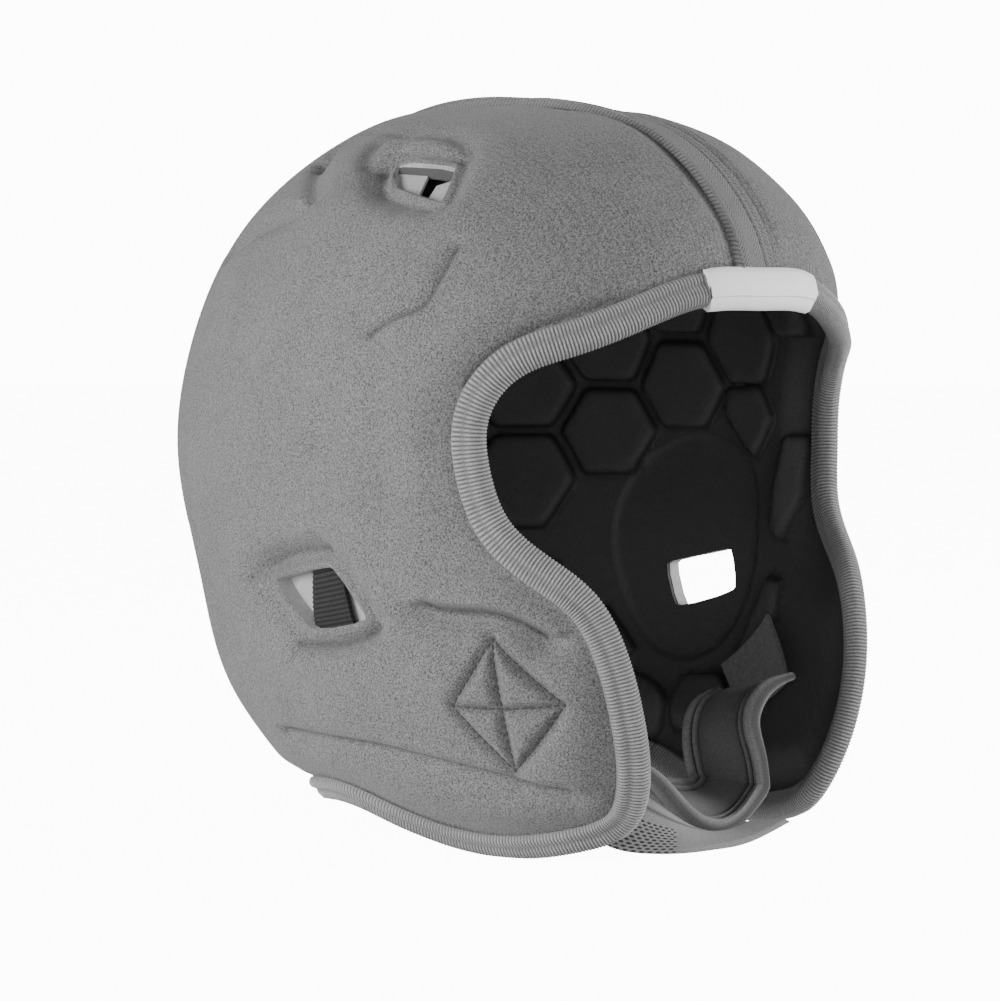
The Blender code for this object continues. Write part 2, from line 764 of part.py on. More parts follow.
def brow_label():
    """The tab folded over the binding at the brow."""
    under = BINDING_GAP + BINDING_THICKNESS + SOFT_GAP
    over = under + LABEL_THICKNESS
    section = (
        (BINDING_WIDTH - 0.0004, 0, over),
        (0.0, 0, over),
        (-0.85 * over, 0.15, 0),
        (-over - 0.0004, 0.5, 0),
        (-0.85 * over, 0.85, 0),
        (0.0, 1, over),
        (BINDING_INNER_WIDTH - 0.001, 1, over),
        (BINDING_INNER_WIDTH - 0.001, 1, under),
        (0.0, 1, under),
        (-0.85 * under, 0.85, 0),
        (-under - 0.0004, 0.5, 0),
        (-0.85 * under, 0.15, 0),
        (0.0, 0, under),
        (BINDING_WIDTH - 0.0004, 0, under),
    )
    points, faces = rim_band(section, *rim_stretch(LABEL_LENGTH, LABEL_STATIONS), False)
    return solid("brow_label", points, faces, "label")


def crown_tape():
    """The tape over the joint of the two shell halves."""
    start = BINDING_WIDTH + 1.5 * BINDING_GAP
    ends = rim_inset(start)[[RIM_SAMPLES, 0]]
    ends[:, 0] = 0
    reach = np.linalg.norm(form(SEAM)[:, None] - form(SEAM)[[0, -1]], axis=-1).min(1)
    line = np.concatenate([ends[:1], SEAM[reach > start + TAPE_THICKNESS], ends[1:]])
    rings = []
    for across, lift in ((-1, 0), (0, 0), (1, 0), (1, 1), (0, 1), (-1, 1)):
        directions = beside_seam(across * TAPE_WIDTH / 2, unit(line))
        share = rim_share(form(directions))
        depth = RIM_DIP * (1 - share) + TAPE_SINK * share - SOFT_GAP - lift * TAPE_THICKNESS
        rings.append(place(directions, depth))
    points, faces = band_mesh(np.stack(rings, 1), False)
    return solid("crown_tape", points, faces, "tape")


def vent_web(name):
    """The web across the right lower vent, set in the foam."""
    corners = form(towards(RIGHT_LOWER_VENT))
    margin = WEB_CLEARANCE / np.linalg.norm(corners[3] - corners[0])
    rings = []
    for up in np.linspace(margin, 1 - margin, WEB_STATIONS):
        ring = []
        for end, deep in ((0, 0), (1, 0), (1, 1), (0, 1)):
            top = corners[0] + (corners[1] - corners[0]) * WEB_TOP_SPAN[end]
            bottom = corners[3] + (corners[2] - corners[3]) * WEB_BOTTOM_SPAN[end]
            direction = direction_of(top * (1 - up) + bottom * up)[None]
            ring.append(place(direction, WEB_DEPTH + deep * WEB_THICKNESS)[0] * [-1, 1, 1])
        rings.append(ring)
    points, faces = band_mesh(np.array(rings), False)
    return solid(name, points, faces, "web")


def loop_patch():
    """The fastening patch inside the left cheek."""
    corners = towards(LOOP_PATCH)
    rings = []
    for up in np.linspace(0, 1, 4):
        top = corners[0] * (1 - up) + corners[3] * up
        bottom = corners[1] * (1 - up) + corners[2] * up
        line = unit(np.array([top * (1 - t) + bottom * t for t in np.linspace(0, 1, 4)]))
        under = floor_depth(line) + PAD_RISE + SOFT_GAP
        ring = np.concatenate([place(line, under), place(line, under + PATCH_THICKNESS)[::-1]])
        rings.append(ring)
    points, faces = band_mesh(np.array(rings), False)
    return solid("loop_patch", points, faces, "patch")


def strap_edges():
    """Front and back edge of the strap's middle surface, from the sewn end to the free end."""
    front, back = [], []
    for front_azimuth, front_up, back_azimuth, back_up, lift in STRAP_SEWN:
        ends = towards([(front_azimuth, front_up), (back_azimuth, back_up)])
        floor = floor_depth(ends) + PAD_RISE + SOFT_GAP + STRAP_THICKNESS / 2
        points = place(ends, floor + lift * WIDTH / 2) * [-1, 1, 1]
        front.append(points[0])
        back.append(points[1])
    for row in STRAP_FREE:
        front.append(np.array(row[:3]) * SCALE)
        back.append(np.array(row[3:]) * SCALE)
    both = np.column_stack([front, back])
    middle = (both[:, :3] + both[:, 3:]) / 2
    knots = np.concatenate([[0], np.cumsum(np.linalg.norm(np.diff(middle, axis=0), axis=1))])
    line = spline(knots, both, np.linspace(0, knots[-1], STRAP_STATIONS))
    return line[:, :3], line[:, 3:]


def band_normals(front, back):
    """Normals of a band on its outer side, away from the chin."""
    along = np.gradient((front + back) / 2, axis=0)
    return unit(np.cross(back - front, along))


def padded_band(front, back, thickness, edge):
    """Rings of a band with rounded long edges."""
    normal = band_normals(front, back)
    width = unit(back - front)
    half = thickness / 2
    rings = []
    for place_on, out in ((0, 1), (1, 1), (1, 0), (1, -1), (0, -1), (0, 0)):
        base = front if place_on == 0 else back
        sink = edge * (1 if place_on == 0 else -1) * abs(out)
        rings.append(base + width * sink + normal * out * half)
    return np.stack(rings, 1)


def chin_strap():
    """The padded strap, sewn inside the right cheek, with its free end standing up."""
    front, back = strap_edges()
    rings = padded_band(front, back, STRAP_THICKNESS, STRAP_THICKNESS * 0.3)
    points, faces = band_mesh(rings, False)
    return solid("chin_strap", points, faces, "strap")


def chin_cup():
    """The outer layer under the strap, from the right cheek to its pointed corner."""
    front, back = strap_edges()
    normal = band_normals(front, back)
    shares = np.linspace(0, 1, len(front))
    rows = np.array(CUP_EDGE)
    at = np.linspace(rows[0, 0], rows[-1, 0], CUP_STATIONS)
    lower = spline(rows[:, 0], rows[:, 1:], at) * SCALE
    offset = STRAP_THICKNESS / 2 + 2 * SOFT_GAP + CUP_THICKNESS / 2
    under = front + normal * offset + unit(back - front) * STRAP_THICKNESS * 0.6
    upper = spline(shares, under, at)
    rings = padded_band(lower, upper, CUP_THICKNESS, 0)
    points, faces = band_mesh(rings, False)
    return solid("chin_cup", points, faces, "cup")


def settle(things):
    """Hangs the parts from one empty, so that they stand on Z = 0 about the middle."""
    corners = np.concatenate([[v.co[:] for v in thing.data.vertices] for thing in things])
    low, high = corners.min(0), corners.max(0)
    stand = bpy.data.objects.new("stand", None)
    bpy.data.collections[COLLECTION_NAME].objects.link(stand)
    stand.location = (-(low[0] + high[0]) / 2, -(low[1] + high[1]) / 2, -low[2])
    for thing in things:
        thing.parent = stand
    bpy.context.view_layer.update()


def main():
    """Clears the scene and builds every piece."""
    for thing in list(bpy.data.objects):
        bpy.data.objects.remove(thing)
    collection = bpy.data.collections.new(COLLECTION_NAME)
    bpy.context.scene.collection.children.link(collection)
    settle([
        shell_half("shell_left", 1),
        shell_half("shell_right", -1),
        crown_tape(),
        binding(),
        brow_label(),
        liner_half("liner_left", 1),
        liner_half("liner_right", -1),
        vent_web("vent_web_right"),
        loop_patch(),
        chin_strap(),
        chin_cup(),
    ])


main()
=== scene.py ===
"""Soft padded headgear for flag football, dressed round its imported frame.

The wearer faces -Y with the left ear on +X, and every size is in metres. The classes build the
heathered foam shell, the padded lining, the ribbed binding, the crown tape, the brow tab, the
vents, the chin strap with its cup, and the stitching, each on the same head form as the solids.
"""

import logging
import math
from dataclasses import dataclass, field
from enum import Enum

import bmesh
import bpy
import numpy as np
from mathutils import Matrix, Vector
from mathutils.geometry import delaunay_2d_cdt


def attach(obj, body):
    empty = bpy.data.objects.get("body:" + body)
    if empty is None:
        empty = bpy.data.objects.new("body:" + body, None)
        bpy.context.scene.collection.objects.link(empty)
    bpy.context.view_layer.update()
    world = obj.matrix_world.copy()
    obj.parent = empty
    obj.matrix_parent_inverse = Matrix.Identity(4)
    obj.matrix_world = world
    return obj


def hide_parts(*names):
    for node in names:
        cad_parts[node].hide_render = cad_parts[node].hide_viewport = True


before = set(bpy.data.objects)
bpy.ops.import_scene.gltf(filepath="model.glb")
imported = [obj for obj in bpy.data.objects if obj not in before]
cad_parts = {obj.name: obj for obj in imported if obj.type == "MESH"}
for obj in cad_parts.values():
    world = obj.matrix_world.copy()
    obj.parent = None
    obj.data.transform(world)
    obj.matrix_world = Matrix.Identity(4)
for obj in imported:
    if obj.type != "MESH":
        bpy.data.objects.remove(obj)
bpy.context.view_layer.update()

LOG = logging.getLogger("headgear")
HEAD_CENTRE = np.array([0.0, -0.02497, 0.11919])
MIRROR = np.array([-1.0, 1.0, 1.0])
BODY = "root"
CHUNK = 3000  # points whose distances are worked out at once


class Side(Enum):
    """A side of the wearer's head, as the sign of its X."""

    LEFT = 1
    RIGHT = -1


class Pattern(Enum):
    """What a cloth's surface shows beside its grain."""

    PLAIN = "plain"
    WALES = "wales"
    HERRINGBONE = "herringbone"
    SPACER_MESH = "spacer mesh"
    WEAVE = "weave"


@dataclass(frozen=True)
class Layers:
    """Thicknesses and widths of the layers, as in the solids."""

    shell: float = 0.009
    rim_shell: float = 0.0018
    rim_dip: float = 0.0025
    puff_width: float = 0.014
    lining: float = 0.0025
    rim_lining: float = 0.0012
    gap: float = 0.0004
    binding_width: float = 0.0080
    binding_inner_width: float = 0.0072
    binding_wall: float = 0.0012
    binding_gap: float = 0.0005
    tape_width: float = 0.018
    tape_wall: float = 0.0014
    tape_sink: float = 0.0015
    tape_sink_width: float = 0.006
    pad_rise: float = 0.0024
    strap: float = 0.005
    cup: float = 0.0022


LAYERS = Layers()


def spline(knots: np.ndarray, values: np.ndarray, at: np.ndarray) -> np.ndarray:
    """Natural cubic spline.

    Args:
        knots: Places of the rows, rising.
        values: A row of values at each knot.
        at: Places to read.

    Returns:
        A row of values at each place read.
    """
    knots, values, at = (np.asarray(item, float) for item in (knots, values, at))
    gap = np.diff(knots)
    slope = np.diff(values, axis=0) / gap[:, None]
    matrix = np.eye(len(knots))
    right = np.zeros_like(values)
    for i in range(1, len(knots) - 1):
        matrix[i, i - 1 : i + 2] = gap[i - 1], 2 * (gap[i - 1] + gap[i]), gap[i]
        right[i] = 6 * (slope[i] - slope[i - 1])
    bend = np.linalg.solve(matrix, right)
    i = np.clip(np.searchsorted(knots, at) - 1, 0, len(knots) - 2)
    step = gap[i][:, None]
    t = ((at - knots[i]) / gap[i])[:, None]
    straight = values[i] * (1 - t) + values[i + 1] * t
    curve = ((1 - t) ** 3 - (1 - t)) * bend[i] + (t**3 - t) * bend[i + 1]
    return straight + curve * step**2 / 6


def smooth_step(share: np.ndarray) -> np.ndarray:
    """0 to 1 with level ends."""
    share = np.clip(share, 0, 1)
    return share * share * (3 - 2 * share)


def hill(reach: np.ndarray, width: float) -> np.ndarray:
    """1 at no distance, falling smoothly to 0 beyond this width."""
    return np.exp(-((reach / width) ** 2))


def unit(vectors: np.ndarray) -> np.ndarray:
    """Vectors of length one."""
    return vectors / np.linalg.norm(vectors, axis=-1, keepdims=True)


def towards(angles: object) -> np.ndarray:
    """Unit directions from rows of azimuth and elevation in degrees."""
    azimuth, elevation = np.radians(np.asarray(angles, float).reshape(-1, 2)).T
    level = np.cos(elevation)
    return np.stack([level * np.sin(azimuth), -level * np.cos(azimuth), np.sin(elevation)], -1)


def flat(directions: np.ndarray) -> np.ndarray:
    """Flat map of directions round the left ear: back and up, in radians."""
    turn = np.arccos(np.clip(directions[:, 0], -1, 1))
    angle = np.arctan2(directions[:, 2], directions[:, 1])
    return np.stack([turn * np.cos(angle), turn * np.sin(angle)], -1)


def unflat(places: np.ndarray) -> np.ndarray:
    """Directions of places on the flat map."""
    turn = np.linalg.norm(places, axis=-1)
    share = np.where(turn > 1e-9, np.sin(turn) / np.maximum(turn, 1e-9), 1)[:, None]
    return np.column_stack([np.cos(turn), places * share])


def arc_lengths(points: np.ndarray) -> np.ndarray:
    """Running length along a line of points."""
    return np.concatenate([[0], np.cumsum(np.linalg.norm(np.diff(points, axis=0), axis=1))])


def even(points: np.ndarray, count: int) -> np.ndarray:
    """The same line with this many points, evenly spaced."""
    run = arc_lengths(points)
    at = np.linspace(0, run[-1], count)
    return np.stack([np.interp(at, run, points[:, k]) for k in range(points.shape[1])], -1)


def reach_to(points: np.ndarray, line: np.ndarray, closed: bool) -> tuple[np.ndarray, np.ndarray]:
    """Distance of each point to a line.

    Args:
        points: The points, in space or on the flat map.
        line: The line's points.
        closed: Whether the line is a loop.

    Returns:
        The distances, and the nearest points of the line.
    """
    start = line if closed else line[:-1]
    run = (np.roll(line, -1, axis=0) if closed else line[1:]) - start
    length = (run**2).sum(-1)
    found, nearest = np.empty(len(points)), np.empty_like(points)
    for first in range(0, len(points), CHUNK):
        part = slice(first, first + CHUNK)
        share = np.clip(((points[part][:, None] - start) * run).sum(-1) / length, 0, 1)
        spots = start + share[..., None] * run
        reach = np.linalg.norm(points[part][:, None] - spots, axis=-1)
        best = reach.argmin(1)
        rows = np.arange(len(best))
        found[part], nearest[part] = reach[rows, best], spots[rows, best]
    return found, nearest


def inside(places: np.ndarray, outline: np.ndarray) -> np.ndarray:
    """Which flat places lie within a closed outline."""
    found = np.zeros(len(places), bool)
    for (x0, y0), (x1, y1) in zip(outline, np.roll(outline, -1, axis=0)):
        spans = (y0 > places[:, 1]) != (y1 > places[:, 1])
        rise = y1 - y0 if y1 != y0 else 1.0
        found ^= spans & (places[:, 0] < x0 + (places[:, 1] - y0) * (x1 - x0) / rise)
    return found


def divided(outline: np.ndarray, reach: float) -> np.ndarray:
    """A closed outline with points added, so that none of its sides is longer than this."""
    points = []
    for start, end in zip(outline, np.roll(outline, -1, axis=0)):
        parts = max(1, math.ceil(np.linalg.norm(end - start) / reach))
        points += [start + (end - start) * i / parts for i in range(parts)]
    return np.array(points)


def rounded(outline: np.ndarray, turns: int) -> np.ndarray:
    """A closed outline with its corners cut this many times."""
    for _ in range(turns):
        ahead = np.roll(outline, -1, axis=0)
        outline = np.stack([outline * 0.75 + ahead * 0.25, outline * 0.25 + ahead * 0.75], 1)
        outline = outline.reshape(-1, outline.shape[-1])
    return outline


@dataclass(frozen=True)
class HeadForm:
    """The plain outer form: a radius in every direction from a centre at ear level."""

    width: float = 0.190
    length: float = 0.228
    height: float = 0.223
    roundness: float = 2.12
    # Elevation, then the front, side and back radius in shares of half the width
    rows: tuple = (
        (-65, 1.60, 1.42, 1.41),
        (-50, 1.475, 1.285, 1.425),
        (-35, 1.285, 1.15, 1.44),
        (-20, 1.085, 1.01, 1.44),
        (0, 0.965, 1.00, 1.435),
        (20, 1.00, 1.04, 1.385),
        (40, 1.075, 1.11, 1.32),
        (60, 1.12, 1.13, 1.245),
        (90, 1.12, 1.12, 1.12),
    )

    @property
    def scale(self) -> np.ndarray:
        """Metres for one share of each axis."""
        return np.array([self.width / 2.0, self.length / 2.40, self.height / 2.35])

    def points(self, directions: np.ndarray) -> np.ndarray:
        """Points of the form in unit directions from its centre."""
        azimuth = np.arctan2(directions[:, 0], -directions[:, 1])
        elevation = np.degrees(np.arcsin(np.clip(directions[:, 2], -1, 1)))
        rows, front, side, back = np.array(self.rows).T
        over = np.concatenate([rows, 180 - rows[-2::-1]])
        ahead = np.append(front, back[-2::-1])[:, None]
        beside = np.append(side, side[-2::-1])[:, None]
        forward = np.cos(azimuth) > 0
        ends = spline(over, ahead, np.where(forward, elevation, 180 - elevation))[:, 0]
        flanks = spline(over, beside, elevation)[:, 0]
        roundness = 2 + (self.roundness - 2) * (1 - directions[:, 2] ** 2)
        along = (np.abs(np.cos(azimuth)) / ends) ** roundness
        across = (np.abs(np.sin(azimuth)) / flanks) ** roundness
        return directions * ((along + across) ** (-1 / roundness))[:, None] * self.scale

    def normals(self, directions: np.ndarray) -> np.ndarray:
        """Outward normals of the form."""
        reach = 0.004
        upright = np.abs(directions[:, 2:]) > 0.9
        helper = np.where(upright, [[1.0, 0.0, 0.0]], [[0.0, 0.0, 1.0]])
        first = unit(np.cross(helper, directions))
        second = np.cross(directions, first)
        run, rise = (
            self.points(unit(directions + step)) - self.points(unit(directions - step))
            for step in (first * reach, second * reach)
        )
        return unit(np.cross(run, rise))

    def place(self, directions: np.ndarray, depth: object) -> np.ndarray:
        """Points that lie this deep under the form."""
        return self.points(directions) - self.normals(directions) * np.reshape(depth, (-1, 1))

    def direction_of(self, points: np.ndarray) -> np.ndarray:
        """Unit directions in which the form passes these points."""
        return unit(points / self.scale)


FORM = HeadForm()
FINE = 8  # points laid out for each point kept, where a line is spaced evenly


class RimPath:
    """The rim of the opening, sampled finely, with its inward vectors."""

    points = (
        (0, 28.2), (16, 27.5), (30, 23.2), (44, 18.3), (55, 13.8), (60, 6.5), (60, -2.0),
        (56.5, -11.7), (47.8, -18.2), (40.4, -23.0), (36, -29.0), (32.6, -37.5), (30.4, -46.0),
        (31.7, -52.5), (41, -57.3), (57, -61.4), (76, -62.6), (94, -60.3), (107, -57.6),
        (126, -56.8), (150, -58.5), (166, -61.0), (180, -62.3),
    )

    def __init__(self, samples: int) -> None:
        """Lays out the rim.

        Args:
            samples: Number of steps from the brow centre to the nape centre.
        """
        half = towards(self.points)
        line = np.concatenate([half[3:0:-1] * MIRROR, half, half[-2:-5:-1] * MIRROR])
        knots = arc_lengths(line)
        at = np.linspace(knots[3], knots[-4], FINE * samples)
        rim = FORM.direction_of(even(FORM.points(unit(spline(knots, line, at))), samples + 1))
        rim[[0, -1], 0] = 0
        self.samples = samples
        self.half = unit(rim)
        self.loop = np.concatenate([self.half, (self.half * MIRROR)[-2:0:-1]])
        self.positions = FORM.points(self.loop)
        tangent = unit(np.roll(self.positions, -1, axis=0) - np.roll(self.positions, 1, axis=0))
        inward = unit(np.cross(tangent, FORM.normals(self.loop)))
        self.inward = inward if inward[0, 2] > 0 else -inward

    def inset(self, reach: object) -> np.ndarray:
        """Directions at this distance inside the rim."""
        return FORM.direction_of(self.positions + self.inward * np.reshape(reach, (-1, 1)))

    def share(self, points: np.ndarray) -> np.ndarray:
        """0 under the binding to 1 where the padding is full."""
        reach = reach_to(points, self.positions, True)[0]
        return smooth_step((reach - LAYERS.binding_width) / LAYERS.puff_width)


def seam_line(rim: RimPath, stations: int) -> np.ndarray:
    """Directions over the crown from the nape to the brow, in the middle plane."""
    brow, nape = rim.half[0], rim.half[-1]
    ends = math.atan2(nape[2], nape[1]), math.atan2(brow[2], brow[1])
    angle = np.linspace(*ends, FINE * stations)
    fine = FORM.points(np.stack([np.zeros_like(angle), np.cos(angle), np.sin(angle)], -1))
    seam = FORM.direction_of(even(fine, stations + 1))
    seam[:, 0] = 0
    return unit(seam)


RIM = RimPath(150)
SEAM = seam_line(RIM, 130)
REGION = np.concatenate([RIM.half, SEAM[1:-1]])
COARSE_RIM = RimPath(52)


@dataclass(frozen=True)
class Fold:
    """A fold pressed into the shell.

    Above and below are how far its slopes reach on either side, shade is how much painted shade,
    with a little dirt, darkens the cloth in its crease, and its line runs through azimuth and
    elevation in degrees.
    """

    depth: float
    above: float
    below: float
    shade: float
    line: tuple
    sides: tuple = (Side.LEFT, Side.RIGHT)

    def directions(self) -> np.ndarray:
        """The fold's line as directions on the left side."""
        angles = np.array(self.line, float)
        last = len(angles) - 1
        return towards(spline(np.arange(last + 1), angles, np.linspace(0, last, 40)))

    def depth_at(self, points: np.ndarray) -> np.ndarray:
        """How deep the fold is at these points of the form."""
        reach, nearest = reach_to(points, FORM.points(self.directions()), False)
        return self.depth * hill(reach, np.where(points[:, 2] > nearest[:, 2], self.above, self.below))

    def shade_at(self, points: np.ndarray) -> np.ndarray:
        """How much painted crease shade, with a little dirt, darkens the cloth at these points."""
        reach = reach_to(points, FORM.points(self.directions()), False)[0]
        return self.shade * hill(reach, CREASE_WIDTH)


# Width of the painted shade, with a little dirt, along creases and stitching
CREASE_WIDTH = 0.0011
ONLY_RIGHT = (Side.RIGHT,)
FOLDS = (
    # At the temple
    Fold(0.0014, 0.0026, 0.0009, 0.6, (
        (66.4, 35.2), (67.4, 33.0), (69.5, 28.9), (71.8, 25.4), (76.0, 24.0), (81.0, 22.0),
        (83.2, 20.4))),
    # Over the cheek, and along the jaw
    Fold(0.0050, 0.0014, 0.0070, 0.8, (
        (71.8, -25.3), (67.3, -25.7), (60.7, -25.6), (54.7, -26.2), (48.9, -28.1))),
    Fold(0.0032, 0.0018, 0.0055, 0.45, (
        (119.9, -45.0), (100.2, -46.4), (75.3, -47.5), (60.3, -48.2), (51.4, -48.6), (44.8, -48.5))),
    # Beside the binding at the brow
    Fold(0.0022, 0.0038, 0.0013, 0.3, ((61.5, 12.5), (53.2, 18.9), (46.2, 22.8), (35.1, 26.7))),
    # Round the upper vent, then behind it, then down the panel's edge
    Fold(0.0026, 0.0042, 0.0030, 0.15, (
        (106.7, 52.5), (115.5, 57.5), (112.9, 61.3), (97.4, 63.5), (82.1, 61.7), (72.5, 57.4))),
    Fold(0.0022, 0.0050, 0.0028, 0.0, ((113.0, 63.5), (130.4, 60.3), (139.6, 54.5), (137.3, 50.2))),
    Fold(0.0030, 0.0060, 0.0030, 0.0, (
        (137.3, 50.2), (127.7, 47.7), (116.8, 44.1), (118.4, 40.5), (127.3, 37.7), (135.1, 34.2),
        (142.0, 30.0))),
    # Low at the back
    Fold(0.0034, 0.0024, 0.0085, 0.0, (
        (144.0, -12.0), (140.5, -18.3), (137.4, -23.8), (130.3, -28.9), (127.1, -32.1),
        (124.0, -34.0))),
    # A soft valley before the ear, and one under the upper vent
    Fold(0.0012, 0.0060, 0.0060, 0.0, ((81.3, 19.0), (79.9, 6.1), (80.4, -7.9), (79.9, -18.6))),
    Fold(0.0020, 0.0055, 0.0040, 0.0, ((101.1, 54.3), (100.0, 50.0), (93.0, 46.5), (84.0, 43.6))),
    # Over and under the right lower vent
    Fold(0.0030, 0.0034, 0.0022, 0.45, (
        (121.0, -22.0), (115.0, -19.8), (106.0, -18.0), (97.0, -17.6)), ONLY_RIGHT),
    Fold(0.0024, 0.0013, 0.0034, 0.6, (
        (106.0, -32.3), (95.0, -32.2), (86.0, -30.6), (82.5, -28.8)), ONLY_RIGHT),
)


@dataclass(frozen=True)
class Vent:
    """A four-sided vent cut through the foam, its corners as azimuth and elevation."""

    corners: tuple
    corner_cut = 0.09
    edge_step = 0.018

    def quad(self) -> np.ndarray:
        """Directions of its four corners: back upper, front upper, front lower, back lower."""
        return towards(self.corners)

    def outline(self) -> np.ndarray:
        """Its rounded edge as directions."""
        points = self.quad()
        run = np.roll(points, -1, axis=0) - points
        ends = np.stack([points + run * self.corner_cut, points + run * (1 - self.corner_cut)], 1)
        return unit(divided(rounded(unit(ends.reshape(-1, 3)), 1), self.edge_step))

    def spot(self, across: float, down: float, depth: float) -> np.ndarray:
        """A point in the vent, by shares from its back and its upper edge."""
        corners = FORM.points(self.quad())
        top = corners[0] * (1 - across) + corners[1] * across
        bottom = corners[3] * (1 - across) + corners[2] * across
        return FORM.place(FORM.direction_of(top * (1 - down) + bottom * down)[None], depth)[0]


UPPER_VENT = Vent(((101.5, 56.0), (75.5, 54.3), (74.0, 45.0), (92.5, 49.6)))
RIGHT_LOWER_VENT = Vent(((114.0, -22.2), (95.5, -20.2), (85.0, -28.2), (101.5, -30.3)))
LEFT_LOWER_VENT = Vent(((105.3, -24.0), (86.5, -21.2), (85.2, -28.4), (102.6, -32.0)))
VENTS = {Side.LEFT: (LEFT_LOWER_VENT, UPPER_VENT), Side.RIGHT: (RIGHT_LOWER_VENT, UPPER_VENT)}
DIAMOND = ((-58.7, -29.2), (-45.6, -36.9), (-55.2, -47.0), (-66.9, -38.9))


def grown(outline: np.ndarray, reach: float) -> np.ndarray:
    """An outline on the form, moved outwards by this distance."""
    points = FORM.points(outline)
    away = unit(points - points.mean(0))
    return FORM.direction_of(points + away * reach)


def diamond_lines() -> list[np.ndarray]:
    """The four sides and the two cross lines of the cheek's stitching, as left directions."""
    corners = towards(DIAMOND) * MIRROR
    pairs = ((0, 1), (1, 2), (2, 3), (3, 0), (0, 2), (1, 3))
    shares = np.linspace(0, 1, 24)[:, None]
    return [unit(corners[a] * (1 - shares) + corners[b] * shares) for a, b in pairs]


class NodeBuilder:
    """Adds nodes to a tree."""

    def __init__(self, tree: bpy.types.NodeTree) -> None:
        """Keeps the tree."""
        self.tree = tree

    def fill(self, node: bpy.types.Node, inputs: dict) -> bpy.types.Node:
        """Links sockets, or sets values, by input name or number."""
        for name, value in inputs.items():
            if isinstance(value, bpy.types.NodeSocket):
                self.tree.links.new(value, node.inputs[name])
            else:
                node.inputs[name].default_value = value
        return node

    def add(self, kind: str, inputs: dict | None = None, **settings: object) -> bpy.types.Node:
        """Adds a node.

        Args:
            kind: The node's type.
            inputs: Values or sockets by input name or number.
            settings: Properties to set.

        Returns:
            The node.
        """
        node = self.tree.nodes.new(kind)
        for name, value in settings.items():
            setattr(node, name, value)
        return self.fill(node, inputs or {})


class MaterialNodes(NodeBuilder):
    """Builds one material's nodes."""

    def __init__(self, name: str) -> None:
        """Starts a material with its shader."""
        self.material = bpy.data.materials.new(name)
        self.material.use_nodes = True
        super().__init__(self.material.node_tree)
        self.shader = self.tree.nodes["Principled BSDF"]
        self.place = self.add("ShaderNodeTexCoord").outputs["Object"]

    def maths(self, operation: str, first: object, second: object = 0.0) -> bpy.types.NodeSocket:
        """Result of one sum on sockets or numbers."""
        return self.add("ShaderNodeMath", {0: first, 1: second}, operation=operation).outputs[0]

    def times(self, first: object, *others: object) -> bpy.types.NodeSocket:
        """Product of sockets or numbers."""
        for other in others:
            first = self.maths("MULTIPLY", first, other)
        return first

    def wave(self, value: object, pitch: float) -> bpy.types.NodeSocket:
        """Sine of a length that repeats at this pitch."""
        return self.maths("SINE", self.times(value, math.tau / pitch))

    def noise(self, scale: float, detail: float = 2.0, rough: float = 0.6) -> bpy.types.NodeSocket:
        """Noise on the object's own place."""
        inputs = {"Vector": self.place, "Scale": scale, "Detail": detail, "Roughness": rough}
        return self.add("ShaderNodeTexNoise", inputs).outputs["Fac"]

    def remap(self, value: object, *ends: float) -> bpy.types.NodeSocket:
        """A value moved from one range to another, 0 to 1 if not given, held at the ends."""
        names = ("From Min", "From Max", "To Min", "To Max")
        return self.add("ShaderNodeMapRange", {"Value": value, **dict(zip(names, ends))}).outputs[0]

    def uv(self, name: str) -> tuple[bpy.types.NodeSocket, bpy.types.NodeSocket]:
        """The two sockets of a UV map."""
        split = self.add("ShaderNodeSeparateXYZ", {0: self.add("ShaderNodeUVMap", uv_map=name).outputs[0]})
        return split.outputs[0], split.outputs[1]

    def attribute(self, name: str) -> bpy.types.NodeSocket:
        """A number kept on the mesh."""
        return self.add("ShaderNodeAttribute", attribute_name=name).outputs["Fac"]


